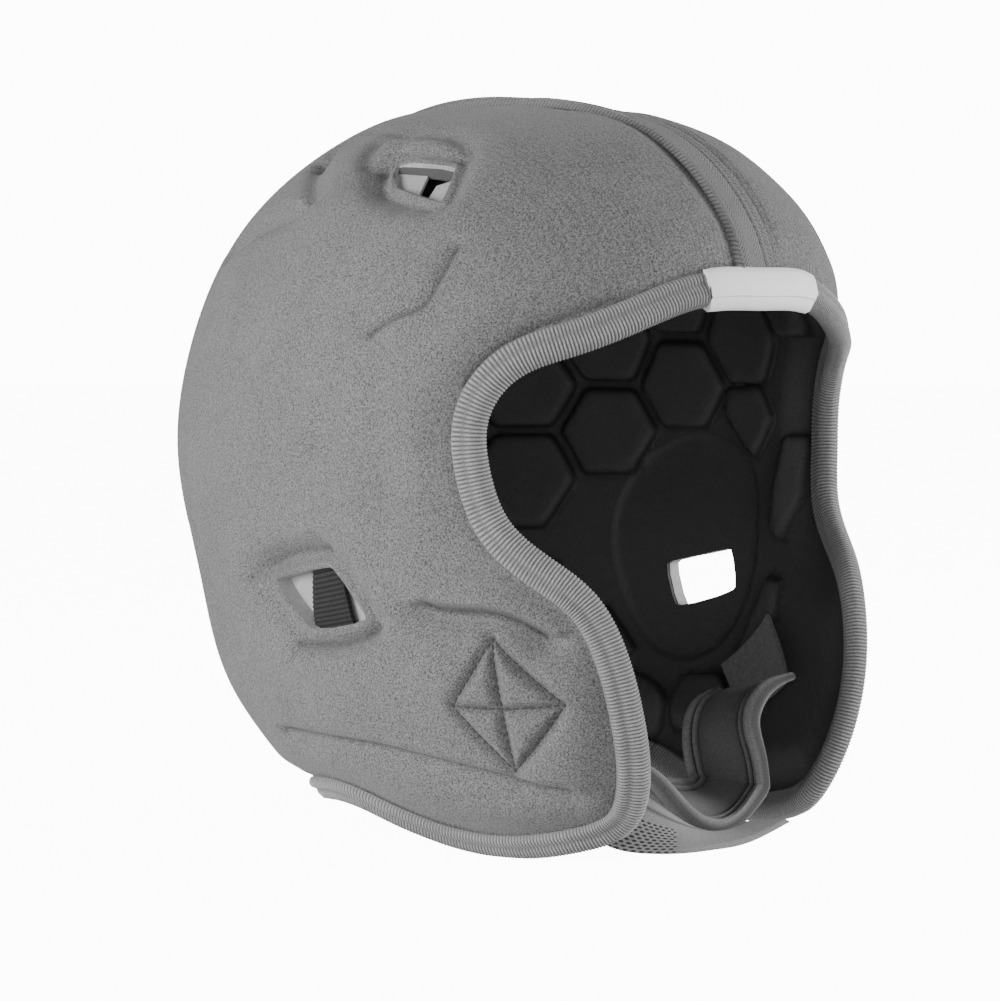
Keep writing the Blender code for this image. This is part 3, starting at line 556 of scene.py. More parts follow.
@dataclass(frozen=True)
class ClothFinish:
    """A cloth: two shades with grain between them, a pattern, bump from both, and painted shade read from
    its mesh.
    """

    name: str
    slot: str
    dark: float
    light: float
    grain_scale: float = 1700.0
    grain_range: tuple = (0.32, 0.68)
    mottle: float = 0.25
    roughness: float = 0.92
    sheen: float = 0.15
    bump: float = 0.35
    grain_height: float = 0.00012
    pattern: Pattern = Pattern.PLAIN
    pattern_height: float = 0.0003
    pattern_shade: float = 0.25
    # How strongly the mesh's painted shade darkens the cloth in creases, channels, seams and rib valleys;
    # on the shell it also holds a little crease dirt
    shade_and_dirt: float = 0.0
    # Pitches of the patterns, the same in every cloth
    mottle_scale = 45.0
    mesh_pitch = 0.0025
    mesh_row = 0.0016
    wale_pitch = 0.0021
    chevron_width = 0.0036
    chevron_slope = 1.3
    chevron_pitch = 0.0014
    weave_pitch = 0.0009

    def build(self) -> bpy.types.Material:
        """The material."""
        nodes = MaterialNodes(self.name)
        grain = nodes.remap(nodes.noise(self.grain_scale, 3.0, 0.7), *self.grain_range)
        broad = nodes.remap(nodes.noise(self.mottle_scale, 3.0), 0.3, 0.7)
        share = nodes.maths("ADD", nodes.times(grain, 1 - self.mottle), nodes.times(broad, self.mottle))
        shade = nodes.remap(share, 0.0, 1.0, self.dark, self.light)
        height = nodes.times(grain, self.grain_height)
        if self.pattern is not Pattern.PLAIN:
            groove = self.groove(nodes)
            shade = nodes.times(shade, nodes.remap(groove, 0.0, 1.0, 1.0, 1 - self.pattern_shade))
            height = nodes.maths("SUBTRACT", height, nodes.times(groove, self.pattern_height))
        # Painted shade from the mesh, with a little dirt in the shell's creases
        if self.shade_and_dirt:
            shade_and_dirt = nodes.remap(nodes.attribute("shade_and_dirt"), 0.0, 1.0, 1 - self.shade_and_dirt, 1.0)
            shade = nodes.times(shade, shade_and_dirt)
        colour = nodes.add("ShaderNodeCombineColor", {channel: shade for channel in range(3)})
        bump = nodes.add("ShaderNodeBump", {"Strength": self.bump, "Distance": 1.0, "Height": height})
        nodes.fill(nodes.shader, {
            "Base Color": colour.outputs[0], "Normal": bump.outputs[0], "Roughness": self.roughness,
            "Sheen Weight": self.sheen, "Sheen Roughness": 0.5, "Specular IOR Level": 0.2,
        })
        return nodes.material

    def groove(self, nodes: MaterialNodes) -> bpy.types.NodeSocket:
        """1 in the pattern's grooves or holes and 0 on its crests."""
        across, along = nodes.uv("wale" if self.pattern is Pattern.WALES else "cloth")
        if self.pattern is Pattern.SPACER_MESH:
            row = nodes.maths("DIVIDE", along, self.mesh_row)
            shift = nodes.times(nodes.maths("MODULO", nodes.maths("FLOOR", row), 2.0), 0.5)
            cell = nodes.maths("ADD", nodes.maths("DIVIDE", across, self.mesh_pitch), shift)
            x, y = (
                nodes.times(nodes.maths("SUBTRACT", nodes.maths("FRACT", place), 0.5), stretch)
                for place, stretch in ((cell, 2.3), (row, 2.5))
            )
            far = nodes.maths("SQRT", nodes.maths("ADD", nodes.times(x, x), nodes.times(y, y)))
            return nodes.remap(far, 0.55, 1.0, 1.0, 0.0)
        if self.pattern is Pattern.WALES:
            # Only over the brow, and fading out to the sides and the back
            place = nodes.add("ShaderNodeSeparateXYZ", {0: nodes.place})
            return nodes.times(
                nodes.remap(nodes.wave(across, self.wale_pitch), 0.2, 1.0),
                nodes.remap(nodes.maths("ABSOLUTE", across), 0.055, 0.085, 1.0, 0.0),
                nodes.remap(place.outputs[1], -0.05, 0.0, 1.0, 0.15),
                nodes.remap(place.outputs[2], 0.12, 0.15),
                nodes.remap(nodes.noise(700.0, 2.0), 0.35, 0.60),
            )
        if self.pattern is Pattern.HERRINGBONE:
            fold = nodes.maths("PINGPONG", across, self.chevron_width)
            turn = nodes.maths("ADD", along, nodes.times(fold, self.chevron_slope))
            return nodes.remap(nodes.wave(turn, self.chevron_pitch), -0.2, 1.0)
        threads = (nodes.wave(place, self.weave_pitch) for place in (across, along))
        return nodes.remap(nodes.times(*threads), 0.1, 1.0)


class Wardrobe:
    """The finishes of the headgear, each made once."""

    # Knits, like the binding, lining and web below, are darkened by the painted shade kept on their mesh
    knit = {"shade_and_dirt": 0.75, "grain_scale": 2000.0}
    weave = {"pattern": Pattern.WEAVE, "pattern_height": 0.0001}
    thread = {"grain_scale": 3000.0, "bump": 0.2}
    finishes = {
        "heather": ClothFinish(
            "grey_heather", "shell_knit", 0.045, 0.235, grain_range=(0.36, 0.62), mottle=0.10, bump=0.6,
            pattern=Pattern.WALES, pattern_shade=0.20, pattern_height=0.0002, **knit),
        "foam": ClothFinish("cut_foam", "shell_knit", 0.28, 0.42, 900.0, grain_height=0.0003),
        "binding": ClothFinish(
            "ribbed_binding", "edge_binding", 0.24, 0.46, 2600.0, (0.38, 0.62), shade_and_dirt=0.80, bump=0.4),
        "tape": ClothFinish(
            "herringbone_tape", "crown_tape", 0.12, 0.25, 2600.0, (0.38, 0.62),
            pattern=Pattern.HERRINGBONE, pattern_shade=0.5),
        "label": ClothFinish(
            "white_tab", "brow_label", 0.84, 0.90, 2500.0, sheen=0.05, roughness=0.6, bump=0.15),
        "lining": ClothFinish(
            "black_lining", "liner", 0.045, 0.066, 1500.0, sheen=0.06, roughness=0.6, shade_and_dirt=0.80),
        "web": ClothFinish("ribbed_web", "vent_web", 0.014, 0.040, shade_and_dirt=0.8),
        "strap": ClothFinish("strap_knit", "strap", 0.105, 0.22, pattern_shade=0.2, **knit, **weave),
        "cup": ClothFinish("cup_knit", "cup", 0.15, 0.28, pattern_shade=0.15, **knit, **weave),
        "mesh": ClothFinish(
            "cup_spacer_mesh", "cup", 0.18, 0.32, pattern=Pattern.SPACER_MESH, pattern_shade=0.86,
            pattern_height=0.0006),
        "pile": ClothFinish("fastening_pile", "loop_patch", 0.085, 0.17, 1200.0, grain_height=0.0004),
        "thread": ClothFinish("grey_thread", "shell_knit", 0.04, 0.075, **thread),
        "cord": ClothFinish("tape_cord", "crown_tape", 0.12, 0.20, **thread),
        "dark thread": ClothFinish("dark_thread", "strap", 0.05, 0.09, **thread),
    }

    def __init__(self) -> None:
        """Builds nothing until a finish is asked for."""
        self.made: dict[str, bpy.types.Material] = {}

    def material(self, key: str) -> bpy.types.Material:
        """The material of a finish."""
        if key not in self.made:
            self.made[key] = self.finishes[key].build()
        return self.made[key]

    def slot(self, key: str) -> str:
        """The slot of a finish."""
        return self.finishes[key].slot


WARDROBE = Wardrobe()


def added(name: str, data: bpy.types.ID) -> bpy.types.Object:
    """An object with this data, in the scene."""
    thing = bpy.data.objects.new(name, data)
    bpy.context.scene.collection.objects.link(thing)
    return thing


@dataclass
class Piece:
    """Points and faces of one piece in the head's own frame, with what its finish reads."""

    name: str
    points: np.ndarray
    faces: list
    finishes: tuple
    face_finish: np.ndarray | None = None
    # Painted shade, with a little dirt on the shell: 1 where the cloth keeps its colour, less where it
    # darkens
    shade_and_dirt: np.ndarray | None = None
    uvs: dict = field(default_factory=dict)
    weld = 1e-6
    sharp_degrees = 50

    def build(self) -> bpy.types.Object:
        """The object, with its faces turned outwards."""
        mesh = bpy.data.meshes.new(self.name)
        places = self.points + HEAD_CENTRE
        mesh.from_pydata(places.tolist(), [], [list(map(int, face)) for face in self.faces])
        if self.face_finish is not None:
            mesh.polygons.foreach_set("material_index", np.asarray(self.face_finish, np.int32))
        # Keeps the painted shade on the mesh for the finish to read
        if self.shade_and_dirt is not None:
            layer = mesh.attributes.new("shade_and_dirt", "FLOAT", "POINT")
            layer.data.foreach_set("value", np.asarray(self.shade_and_dirt, np.float32))
        corners = np.empty(len(mesh.loops), np.int32)
        mesh.loops.foreach_get("vertex_index", corners)
        for name, places_on in self.uvs.items():
            layer = mesh.uv_layers.new(name=name)
            layer.uv.foreach_set("vector", np.asarray(places_on, np.float32)[corners].ravel())
        work = bmesh.new()
        work.from_mesh(mesh)
        bmesh.ops.remove_doubles(work, verts=work.verts, dist=self.weld)
        bmesh.ops.recalc_face_normals(work, faces=work.faces)
        if work.calc_volume(signed=True) < 0:
            bmesh.ops.reverse_faces(work, faces=work.faces)
        work.to_mesh(mesh)
        work.free()
        mesh.polygons.foreach_set("use_smooth", np.ones(len(mesh.polygons), bool))
        mesh.set_sharp_from_angle(angle=math.radians(self.sharp_degrees))
        for key in self.finishes:
            mesh.materials.append(WARDROBE.material(key))
        LOG.info("%s: %d faces", self.name, len(mesh.polygons))
        return added(self.name, mesh)


def report(thing: bpy.types.Object, key: str, *nodes: str, fill: float | None = None) -> bpy.types.Object:
    """Rides a piece on the body and hides the CAD nodes that it replaces.

    Args:
        thing: The piece.
        key: Its main finish.
        nodes: The CAD nodes that it replaces.
        fill: How full it is, where it is padded; not used.

    Returns:
        The same piece.
    """
    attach(thing, BODY)
    WARDROBE.slot(key)
    if nodes:
        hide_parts(*nodes)
    return thing


def band(rings: np.ndarray, closed: bool) -> tuple[np.ndarray, list]:
    """Points and faces that join rings of points in turn.

    Args:
        rings: Rings of points, one after the other.
        closed: Whether the last ring meets the first.

    Returns:
        The points and the faces.
    """
    count, width = rings.shape[:2]
    i = np.arange(count if closed else count - 1)[:, None]
    j = np.arange(width)[None]
    ahead, k = (i + 1) % count, (j + 1) % width
    corners = (i * width + j, i * width + k, ahead * width + k, ahead * width + j)
    quads = np.stack(np.broadcast_arrays(*corners), -1)
    faces = quads.reshape(-1, 4).tolist()
    if not closed:
        faces += [list(range(width)), [(count - 1) * width + j for j in range(width)]]
    return rings.reshape(-1, 3), faces


class HalfSheets:
    """Fine sheets of triangles over one half of the head, and the closed pieces between two."""

    radius = FORM.width / 2 * 1.15
    cloth_radius = FORM.width / 2 * 1.1

    def __init__(self, side: Side) -> None:
        """Keeps the side and its vents' outlines."""
        self.side = side
        self.holes = [vent.outline() for vent in VENTS[side]]
        self.flat_holes = [flat(hole) for hole in self.holes]
        self.outline = flat(REGION)

    def covers(self, places: np.ndarray) -> np.ndarray:
        """Which flat places lie inside the half and outside its vents."""
        found = inside(places, self.outline)
        for hole in self.flat_holes:
            found &= ~inside(places, hole)
        return found

    def sheet(
        self, guides: list, step: float, loose: list | None = None
    ) -> tuple[np.ndarray, np.ndarray, list]:
        """Triangles over the half.

        Args:
            guides: Pairs of a flat line and whether it is a loop.
            step: Length of a triangle's side.
            loose: Flat lines of points to add without edges, for finer triangles there.

        Returns:
            Directions of the points, their triples, and the border's points in order.
        """
        loops = [self.outline, *self.flat_holes]
        lines = [(line, True) for line in loops] + guides
        fixed = np.concatenate([line for line, _ in lines])
        edges, start = [], 0
        for line, loop in lines:
            count = len(line)
            edges += [(start + i, start + (i + 1) % count) for i in range(count if loop else count - 1)]
            start += count
        if loose:
            fixed = np.concatenate([fixed, self.thinned(np.concatenate(loose), fixed, step * 0.3)])
        every = np.concatenate([fixed, self.lattice(step, fixed)])
        found = delaunay_2d_cdt([tuple(p) for p in every], edges, [], 0, 1e-7)
        points, faces = (np.array([tuple(row) for row in found[i]]) for i in (0, 2))
        order = {source: new for new, sources in enumerate(found[3]) for source in sources}
        border = [order[i] for i in range(sum(map(len, loops)))]
        return unflat(points), faces[self.covers(points[faces].mean(1))], border

    def thinned(self, places: np.ndarray, fixed: np.ndarray, reach: float) -> np.ndarray:
        """Those of the places inside the half that keep this distance from the others."""
        reach /= self.radius
        places = places[self.covers(places)]
        places = places[reach_to(places, self.outline, True)[0] > reach]
        cells: dict = {}
        for place in fixed:
            cells.setdefault((int(place[0] // reach), int(place[1] // reach)), []).append(place)
        chosen = []
        for place in places:
            column, row = int(place[0] // reach), int(place[1] // reach)
            beside = [(column + i, row + j) for i in (-1, 0, 1) for j in (-1, 0, 1)]
            near = [other for cell in beside for other in cells.get(cell, ())]
            if all(math.dist(place, other) > reach for other in near):
                cells.setdefault((column, row), []).append(place)
                chosen.append(place)
        return np.array(chosen).reshape(-1, 2)

    def lattice(self, step: float, fixed: np.ndarray) -> np.ndarray:
        """Places of an even grid inside the half, clear of the fixed points."""
        pitch = step / self.radius
        span = int(1.6 / pitch) + 2
        i, j = np.meshgrid(np.arange(-span, span), np.arange(-span, span))
        grid = np.stack([(i + (j % 2) / 2) * pitch, j * pitch * math.sqrt(0.75)], -1).reshape(-1, 2)
        grid = grid[self.covers(grid)]
        grid = grid[np.linalg.norm(grid, axis=1) < math.pi / 2 - step / FORM.width]
        keep = np.ones(len(grid), bool)
        for first in range(0, len(grid), CHUNK):
            part = slice(first, first + CHUNK)
            keep[part] = np.linalg.norm(grid[part][:, None] - fixed, axis=-1).min(1) > pitch * 0.55
        return grid[keep]

    def between(
        self, sheets: tuple, depths: tuple, middle: float
    ) -> tuple[np.ndarray, list, np.ndarray]:
        """The closed piece between an outer and an inner sheet.

        Args:
            sheets: The outer and the inner sheet.
            depths: How deep each lies under the form.
            middle: Distance of the seam's points from the middle plane.

        Returns:
            Points on this side, faces, and 1 for each face that is a vent's wall.
        """
        points, faces, borders = [], [], []
        for (directions, triples, border), depth in zip(sheets, depths):
            start = sum(map(len, points))
            positions = FORM.place(directions, depth)
            positions[directions[:, 0] < 1e-6, 0] = middle
            faces += (triples + start).tolist()
            points.append(positions)
            borders.append([start + at for at in border])
        outer, inner = borders
        flags = [0] * len(faces)
        for a, b, in_vent in self.border_runs():
            faces.append([outer[a], outer[b], inner[b], inner[a]])
            flags.append(in_vent)
        return np.concatenate(points) * [self.side.value, 1, 1], faces, np.array(flags)

    def border_runs(self) -> list:
        """Neighbours along the border, each with 1 where they are on a vent."""
        runs, start = [], 0
        for line, in_vent in [(REGION, 0), *((hole, 1) for hole in self.holes)]:
            count = len(line)
            runs += [(start + i, start + (i + 1) % count, in_vent) for i in range(count)]
            start += count
        return runs

    def cloth_maps(self, points: np.ndarray) -> dict:
        """UV maps in metres: round the ear, and off the crown seam."""
        places = flat(FORM.direction_of(points * [self.side.value, 1, 1]))
        off_seam = (math.pi / 2 - np.linalg.norm(places, axis=1)) * self.side.value
        angle = np.arctan2(places[:, 1], -places[:, 0])
        wale = np.stack([off_seam, angle], -1) * self.cloth_radius
        return {"cloth": places * self.cloth_radius, "wale": wale}


def back_depth(directions: np.ndarray) -> np.ndarray:
    """How far the shell's inner face lies under the form."""
    rim_depth = LAYERS.rim_dip + LAYERS.rim_shell
    return rim_depth + (LAYERS.shell - rim_depth) * RIM.share(FORM.points(directions))


def lining_depth(directions: np.ndarray) -> np.ndarray:
    """How far the lining's outer face lies under the form."""
    return back_depth(directions) + LAYERS.gap


def floor_depth(directions: np.ndarray) -> np.ndarray:
    """How far the lining's inner face lies under the form, between its pads."""
    wall = LAYERS.rim_lining + (LAYERS.lining - LAYERS.rim_lining) * RIM.share(FORM.points(directions))
    return lining_depth(directions) + wall


def seam_sink(points: np.ndarray) -> np.ndarray:
    """How far the cover dips beside the seam, so that the tape lies flush."""
    reach = np.abs(points[:, 0]) - LAYERS.tape_width / 2
    return LAYERS.tape_sink * (1 - smooth_step(reach / LAYERS.tape_sink_width))


class FoamShell:
    """One foam half with its heathered cover, pressed folds and vents."""

    step: float = 0.0019
    inner_step: float = 0.006
    hem_depth: float = 0.0007
    hem_at: float = 0.0008
    hem_width: float = 0.0015
    dish_depth: float = 0.0036
    dish_width: float = 0.0120
    moat_at: float = 0.0042
    moat_width: float = 0.0016
    moat_depth: float = 0.0012
    lip_height: float = 0.0010
    lip_width: float = 0.0011
    pull_depth: float = 0.0019
    pull_width: float = 0.0017
    pull_skirt: float = 0.006
    skirt_share: float = 0.25
    puff: float = 0.0004
    puff_width: float = 0.005
    # Painted shade along the pulled-in stitching
    stitching_shade: float = 0.5
    lumps_count: int = 7
    lump_height: float = 0.00016

    def __init__(self, side: Side) -> None:
        """Keeps the side."""
        self.side = side
        self.sheets = HalfSheets(side)
        self.folds = [fold for fold in FOLDS if side in fold.sides]

    def depth(self, directions: np.ndarray) -> np.ndarray:
        """How far the cover lies under the form."""
        points, places = FORM.points(directions), flat(directions)
        reach = reach_to(points, RIM.positions, True)[0] - LAYERS.binding_width
        share = smooth_step(reach / LAYERS.puff_width)
        depth = LAYERS.rim_dip * (1 - share) + seam_sink(points) * share
        depth += self.hem_depth * hill(reach - self.hem_at, self.hem_width)
        for fold in self.folds:
            depth += fold.depth_at(points)
        for hole, flat_hole in zip(self.sheets.holes, self.sheets.flat_holes):
            reach = reach_to(points, FORM.points(hole), True)[0]
            reach[inside(places, flat_hole)] = 0
            depth += self.dish_depth * (1 - smooth_step(reach / self.dish_width))
            depth += self.moat_depth * hill(reach - self.moat_at, self.moat_width)
            depth -= self.lip_height * hill(reach - self.lip_width, self.lip_width)
        reach = self.off_stitching(points)
        puff = self.puff * smooth_step(reach / self.puff_width)
        depth -= np.where(inside(places, flat(towards(DIAMOND) * MIRROR)), puff, 0)
        depth += self.pull_depth * hill(reach, self.pull_width)
        depth += self.pull_depth * self.skirt_share * hill(reach, self.pull_skirt)
        return depth + self.lumps(points) * share

    def off_stitching(self, points: np.ndarray) -> np.ndarray:
        """Distance of these points of the form from the cheek's stitching."""
        lines = [FORM.points(line) for line in diamond_lines()]
        return np.min([reach_to(points, line, False)[0] for line in lines], axis=0)

    def shade(self, directions: np.ndarray) -> np.ndarray:
        """How much painted shade darkens the cover in its creases, with a little dirt, and along its
        stitching.
        """
        points = FORM.points(directions)
        stitched = self.stitching_shade * hill(self.off_stitching(points), CREASE_WIDTH)
        return np.max([stitched, *(fold.shade_at(points) for fold in self.folds)], axis=0)

    def lumps(self, points: np.ndarray) -> np.ndarray:
        """Slow unevenness of the padding."""
        rng = np.random.default_rng(11 + self.side.value)
        total = np.zeros(len(points))
        for _ in range(self.lumps_count):
            wave = unit(rng.normal(size=3)) * rng.uniform(90, 190)
            total += np.sin(points @ wave + rng.uniform(0, math.tau))
        return total * self.lump_height

    def guides(self) -> list:
        """Lines that the mesh keeps: the binding's edge, the tape's edge and the vents' lips."""
        half = slice(1, RIM.samples)
        lines = [(flat(RIM.inset(LAYERS.binding_width + reach)[half]), False) for reach in (0.0006, 0.0022)]
        beside = FORM.direction_of(FORM.points(SEAM) + [LAYERS.tape_width / 2 + LAYERS.gap, 0, 0])
        lines.append((flat(beside[4:-4]), False))
        for hole in self.sheets.holes:
            lines += [(flat(grown(hole, reach)), True) for reach in (0.0008, 0.0018, 0.0032)]
        return lines

    def loose(self) -> list:
        """Lines of points beside the folds, the stitching and the vents, for crisp creases there."""
        rows = [(fold.directions(), (0.0, 0.0008, 0.0017, 0.0028)) for fold in self.folds]
        rows += [(line, (0.0, 0.0008, 0.0016, 0.0027)) for line in diamond_lines()]
        found = []
        for line, reaches in rows:
            points = even(FORM.points(line), 45)
            normals = FORM.normals(FORM.direction_of(points))
            beside = np.cross(unit(np.gradient(points, axis=0)), normals)
            for reach in reaches:
                found += [flat(FORM.direction_of(points + beside * reach * sign)) for sign in (1, -1)]
        for hole in self.sheets.holes:
            found += [flat(grown(hole, reach)) for reach in (0.0042, 0.0054, 0.0068)]
        return found

    def build(self) -> bpy.types.Object:
        """The shell half."""
        outer = self.sheets.sheet(self.guides(), self.step, self.loose())
        inner = self.sheets.sheet([], self.inner_step)
        depths = (self.depth(outer[0]), back_depth(inner[0]))
        points, faces, walls = self.sheets.between((outer, inner), depths, LAYERS.gap / 2)
        name = self.side.name.lower()
        # Painted shade, with a little crease dirt, on the outer face only
        shade_and_dirt = np.concatenate([1 - self.shade(outer[0]), np.ones(len(inner[0]))])
        maps = self.sheets.cloth_maps(points)
        piece = Piece(f"foam_shell_{name}", points, faces, ("heather", "foam"), walls, shade_and_dirt, maps)
        return report(piece.build(), "heather", f"shell_{name}", fill=0.9)


class PaddedLining:
    """The black lining with its raised hexagon pads."""

    step: float = 0.0021
    outer_step: float = 0.006
    pitch: float = 0.0365
    channel: float = 0.0034
    ramp: float = 0.0030
    foot: float = 0.0002
    extra_rise: float = 0.0006
    softness: float = 1500.0
    # Painted shade: the width of the dark creases round the pads, and how light the floor between them
    # stays
    crease_shade_width: float = 0.0008
    floor_shade: float = 0.86
    ear_sink: float = 0.0013
    ear_slope: float = 0.0015
    # Painted shade in the crease round the ear's disc
    disc_crease_shade: float = 0.35
    rim_clearance: float = 0.0105
    clearance: float = 0.0025
    ear_centre: tuple = (98, -21)
    ear_axes: tuple = (20.5, 22.5)
    ear_room: float = 1.75
    radius: float = FORM.width / 2 * 1.07
    turn: float = pitch / radius
    lattice_origin: tuple = (28.5, 0.5)
    # Pads that aren't whole hexagons, and the oval over the ear, as azimuth and elevation
    extra: tuple = (
        ((138.3, -22.3), (130.5, -22.6), (124.9, -29.3), (127.0, -35.5), (136.0, -36.5)),
        ((122.8, -31.8), (119.1, -31.0), (115.9, -34.3), (111.1, -39.7), (113.5, -41.3), (121.1, -41.0)),
        ((114.3, -43.7), (109.7, -44.0), (102.3, -46.8), (100.2, -49.0), (101.0, -52.4), (104.0, -54.5),
         (110.5, -53.5)),
        ((98.6, -48.2), (95.9, -44.2), (85.4, -43.8), (79.0, -47.9), (79.4, -49.8), (86.5, -54.0),
         (97.7, -53.2)),
        ((89.6, 10.6), (79.1, 11.2), (74.6, 4.2), (79.9, -5.0), (83.5, -3.0), (90.0, 4.6)),
        ((75.5, -25.0), (68.0, -25.5), (69.5, -32.0), (77.5, -40.0), (84.0, -42.4), (86.0, -40.0),
         (78.5, -32.0)),
        ((71.4, 0.5), (66.0, 1.0), (64.5, -12.0), (66.5, -19.5), (71.5, -18.0)),
    )
    ear_disc: tuple = (
        (119.0, -21.2), (117.0, -11.9), (109.9, -3.4), (97.6, 1.6), (86.5, -1.9), (78.2, -9.5),
        (76.5, -21.2), (81.3, -31.2), (88.3, -39.4), (98.4, -42.4), (108.8, -39.4), (115.4, -31.5),
    )

    def pads(self, sheets: HalfSheets) -> list[np.ndarray]:
        """Outlines of a side's pads on the flat map."""
        corners = np.radians(np.arange(0, 360, 60))
        width = self.turn - self.channel / self.radius
        hexagon = np.stack([np.cos(corners), np.sin(corners)], -1) * width / math.sqrt(3)
        extra = [flat(towards(pad)) for pad in self.extra]
        pads = list(extra)
        for i in range(-8, 9):
            for j in range(-8, 9):
                place = [i * self.turn * math.sqrt(0.75), (j + (i % 2) / 2) * self.turn]
                centre = np.radians(self.lattice_origin) + place
                if self.fits(centre + hexagon, centre, extra, sheets):
                    pads.append(centre + hexagon)
        return pads

    def fits(self, outline: np.ndarray, centre: np.ndarray, extra: list, sheets: HalfSheets) -> bool:
        """Whether a hexagon lies whole on the lining, clear of the rim, the ear and the vents."""
        if np.linalg.norm(outline, axis=1).max() > math.pi / 2 - self.clearance / (FORM.width / 2):
            return False
        off_ear = (centre - flat(towards([self.ear_centre]))[0]) / np.radians(self.ear_axes)
        if (off_ear**2).sum() < self.ear_room:
            return False
        points = FORM.points(unflat(divided(outline, self.turn * 0.2)))
        if reach_to(points, COARSE_RIM.positions, True)[0].min() < self.rim_clearance:
            return False
        if not inside(outline, sheets.outline).all():
            return False
        for vent in VENTS[sheets.side]:
            quad = vent.quad()
            if reach_to(points, FORM.points(unit(quad)), True)[0].min() < self.clearance:
                return False
            if inside(flat(quad), outline).any():
                return False
        return not any(inside(outline, pad).any() or inside(pad, outline).any() for pad in extra)

    def within(self, places: np.ndarray, outline: np.ndarray) -> tuple[np.ndarray, np.ndarray]:
        """Places near a pad, and how far inside its rounded outline each lies, in metres."""
        centre = outline.mean(0)
        reach = np.linalg.norm(outline - centre, axis=1).max() + self.ramp / self.radius
        near = np.flatnonzero(np.linalg.norm(places - centre, axis=1) < reach)
        run = np.roll(outline, -1, axis=0) - outline
        normal = unit(np.stack([-run[:, 1], run[:, 0]], -1))
        normal *= np.sign(((centre - outline) * normal).sum(-1))[:, None]
        sides = ((places[near][:, None] - outline) * normal).sum(-1) * self.radius
        least = sides.min(1)
        total = np.exp(-(sides - least[:, None]) * self.softness).sum(1)
        return near, least - np.log(total) / self.softness

    def rise(
        self, places: np.ndarray, pads: list[np.ndarray], disc: np.ndarray
    ) -> tuple[np.ndarray, np.ndarray]:
        """Height of the pads above the lining's floor, and the painted shade: darker on the floor between
        pads, and darker still in the creases round the pads and the ear's disc.
        """
        height, dark = np.zeros((2, len(places)))
        shade = np.full(len(places), self.floor_shade)
        for outline in pads:
            near, reach = self.within(places, outline)
            share = np.clip((reach + self.foot) / self.ramp, 0, 1)
            height[near] = np.maximum(height[near], np.sqrt(1 - (1 - share) ** 2))
            shade[near] = np.maximum(shade[near], np.where(reach > 0, 1.0, 0.0))
        for outline, weight in [*((pad, 1.0) for pad in pads), (disc, self.disc_crease_shade)]:
            near, reach = self.within(places, outline)
            dark[near] = np.maximum(dark[near], weight * hill(reach, self.crease_shade_width))
        near, reach = self.within(places, disc)
        height *= LAYERS.pad_rise + self.extra_rise
        height[near] -= self.ear_sink * smooth_step(reach / self.ear_slope)
        return height, shade * (1 - dark)

    def build(self) -> None:
        """The lining, one piece for each side."""
        for side in Side:
            sheets = HalfSheets(side)
            pads = self.pads(sheets)
            disc = rounded(flat(towards(self.ear_disc)), 1)
            edges = [divided(pad, self.step / self.radius) for pad in [*pads, disc]]
            loose = [
                edge + unit(edge - edge.mean(0)) * reach / self.radius
                for edge in edges for reach in (0.0009, -0.0009, -0.0020)
            ]
            outer = sheets.sheet([], self.outer_step)
            inner = sheets.sheet([(edge, True) for edge in edges], self.step, loose)
            height, shade = self.rise(flat(inner[0]), pads, disc)
            depths = (lining_depth(outer[0]) + 0.0001, floor_depth(inner[0]) + height)
            points, faces, _ = sheets.between((outer, inner), depths, 0.00005)
            # Painted shade on the inner face; the hidden outer face is left dark
            shade_and_dirt = np.concatenate([np.zeros(len(outer[0])), shade])
            name, maps = side.name.lower(), sheets.cloth_maps(points)
            piece = Piece(f"padded_lining_{name}", points, faces, ("lining",), shade_and_dirt=shade_and_dirt, uvs=maps)
            report(piece.build(), "lining", f"liner_{name}", fill=0.8)


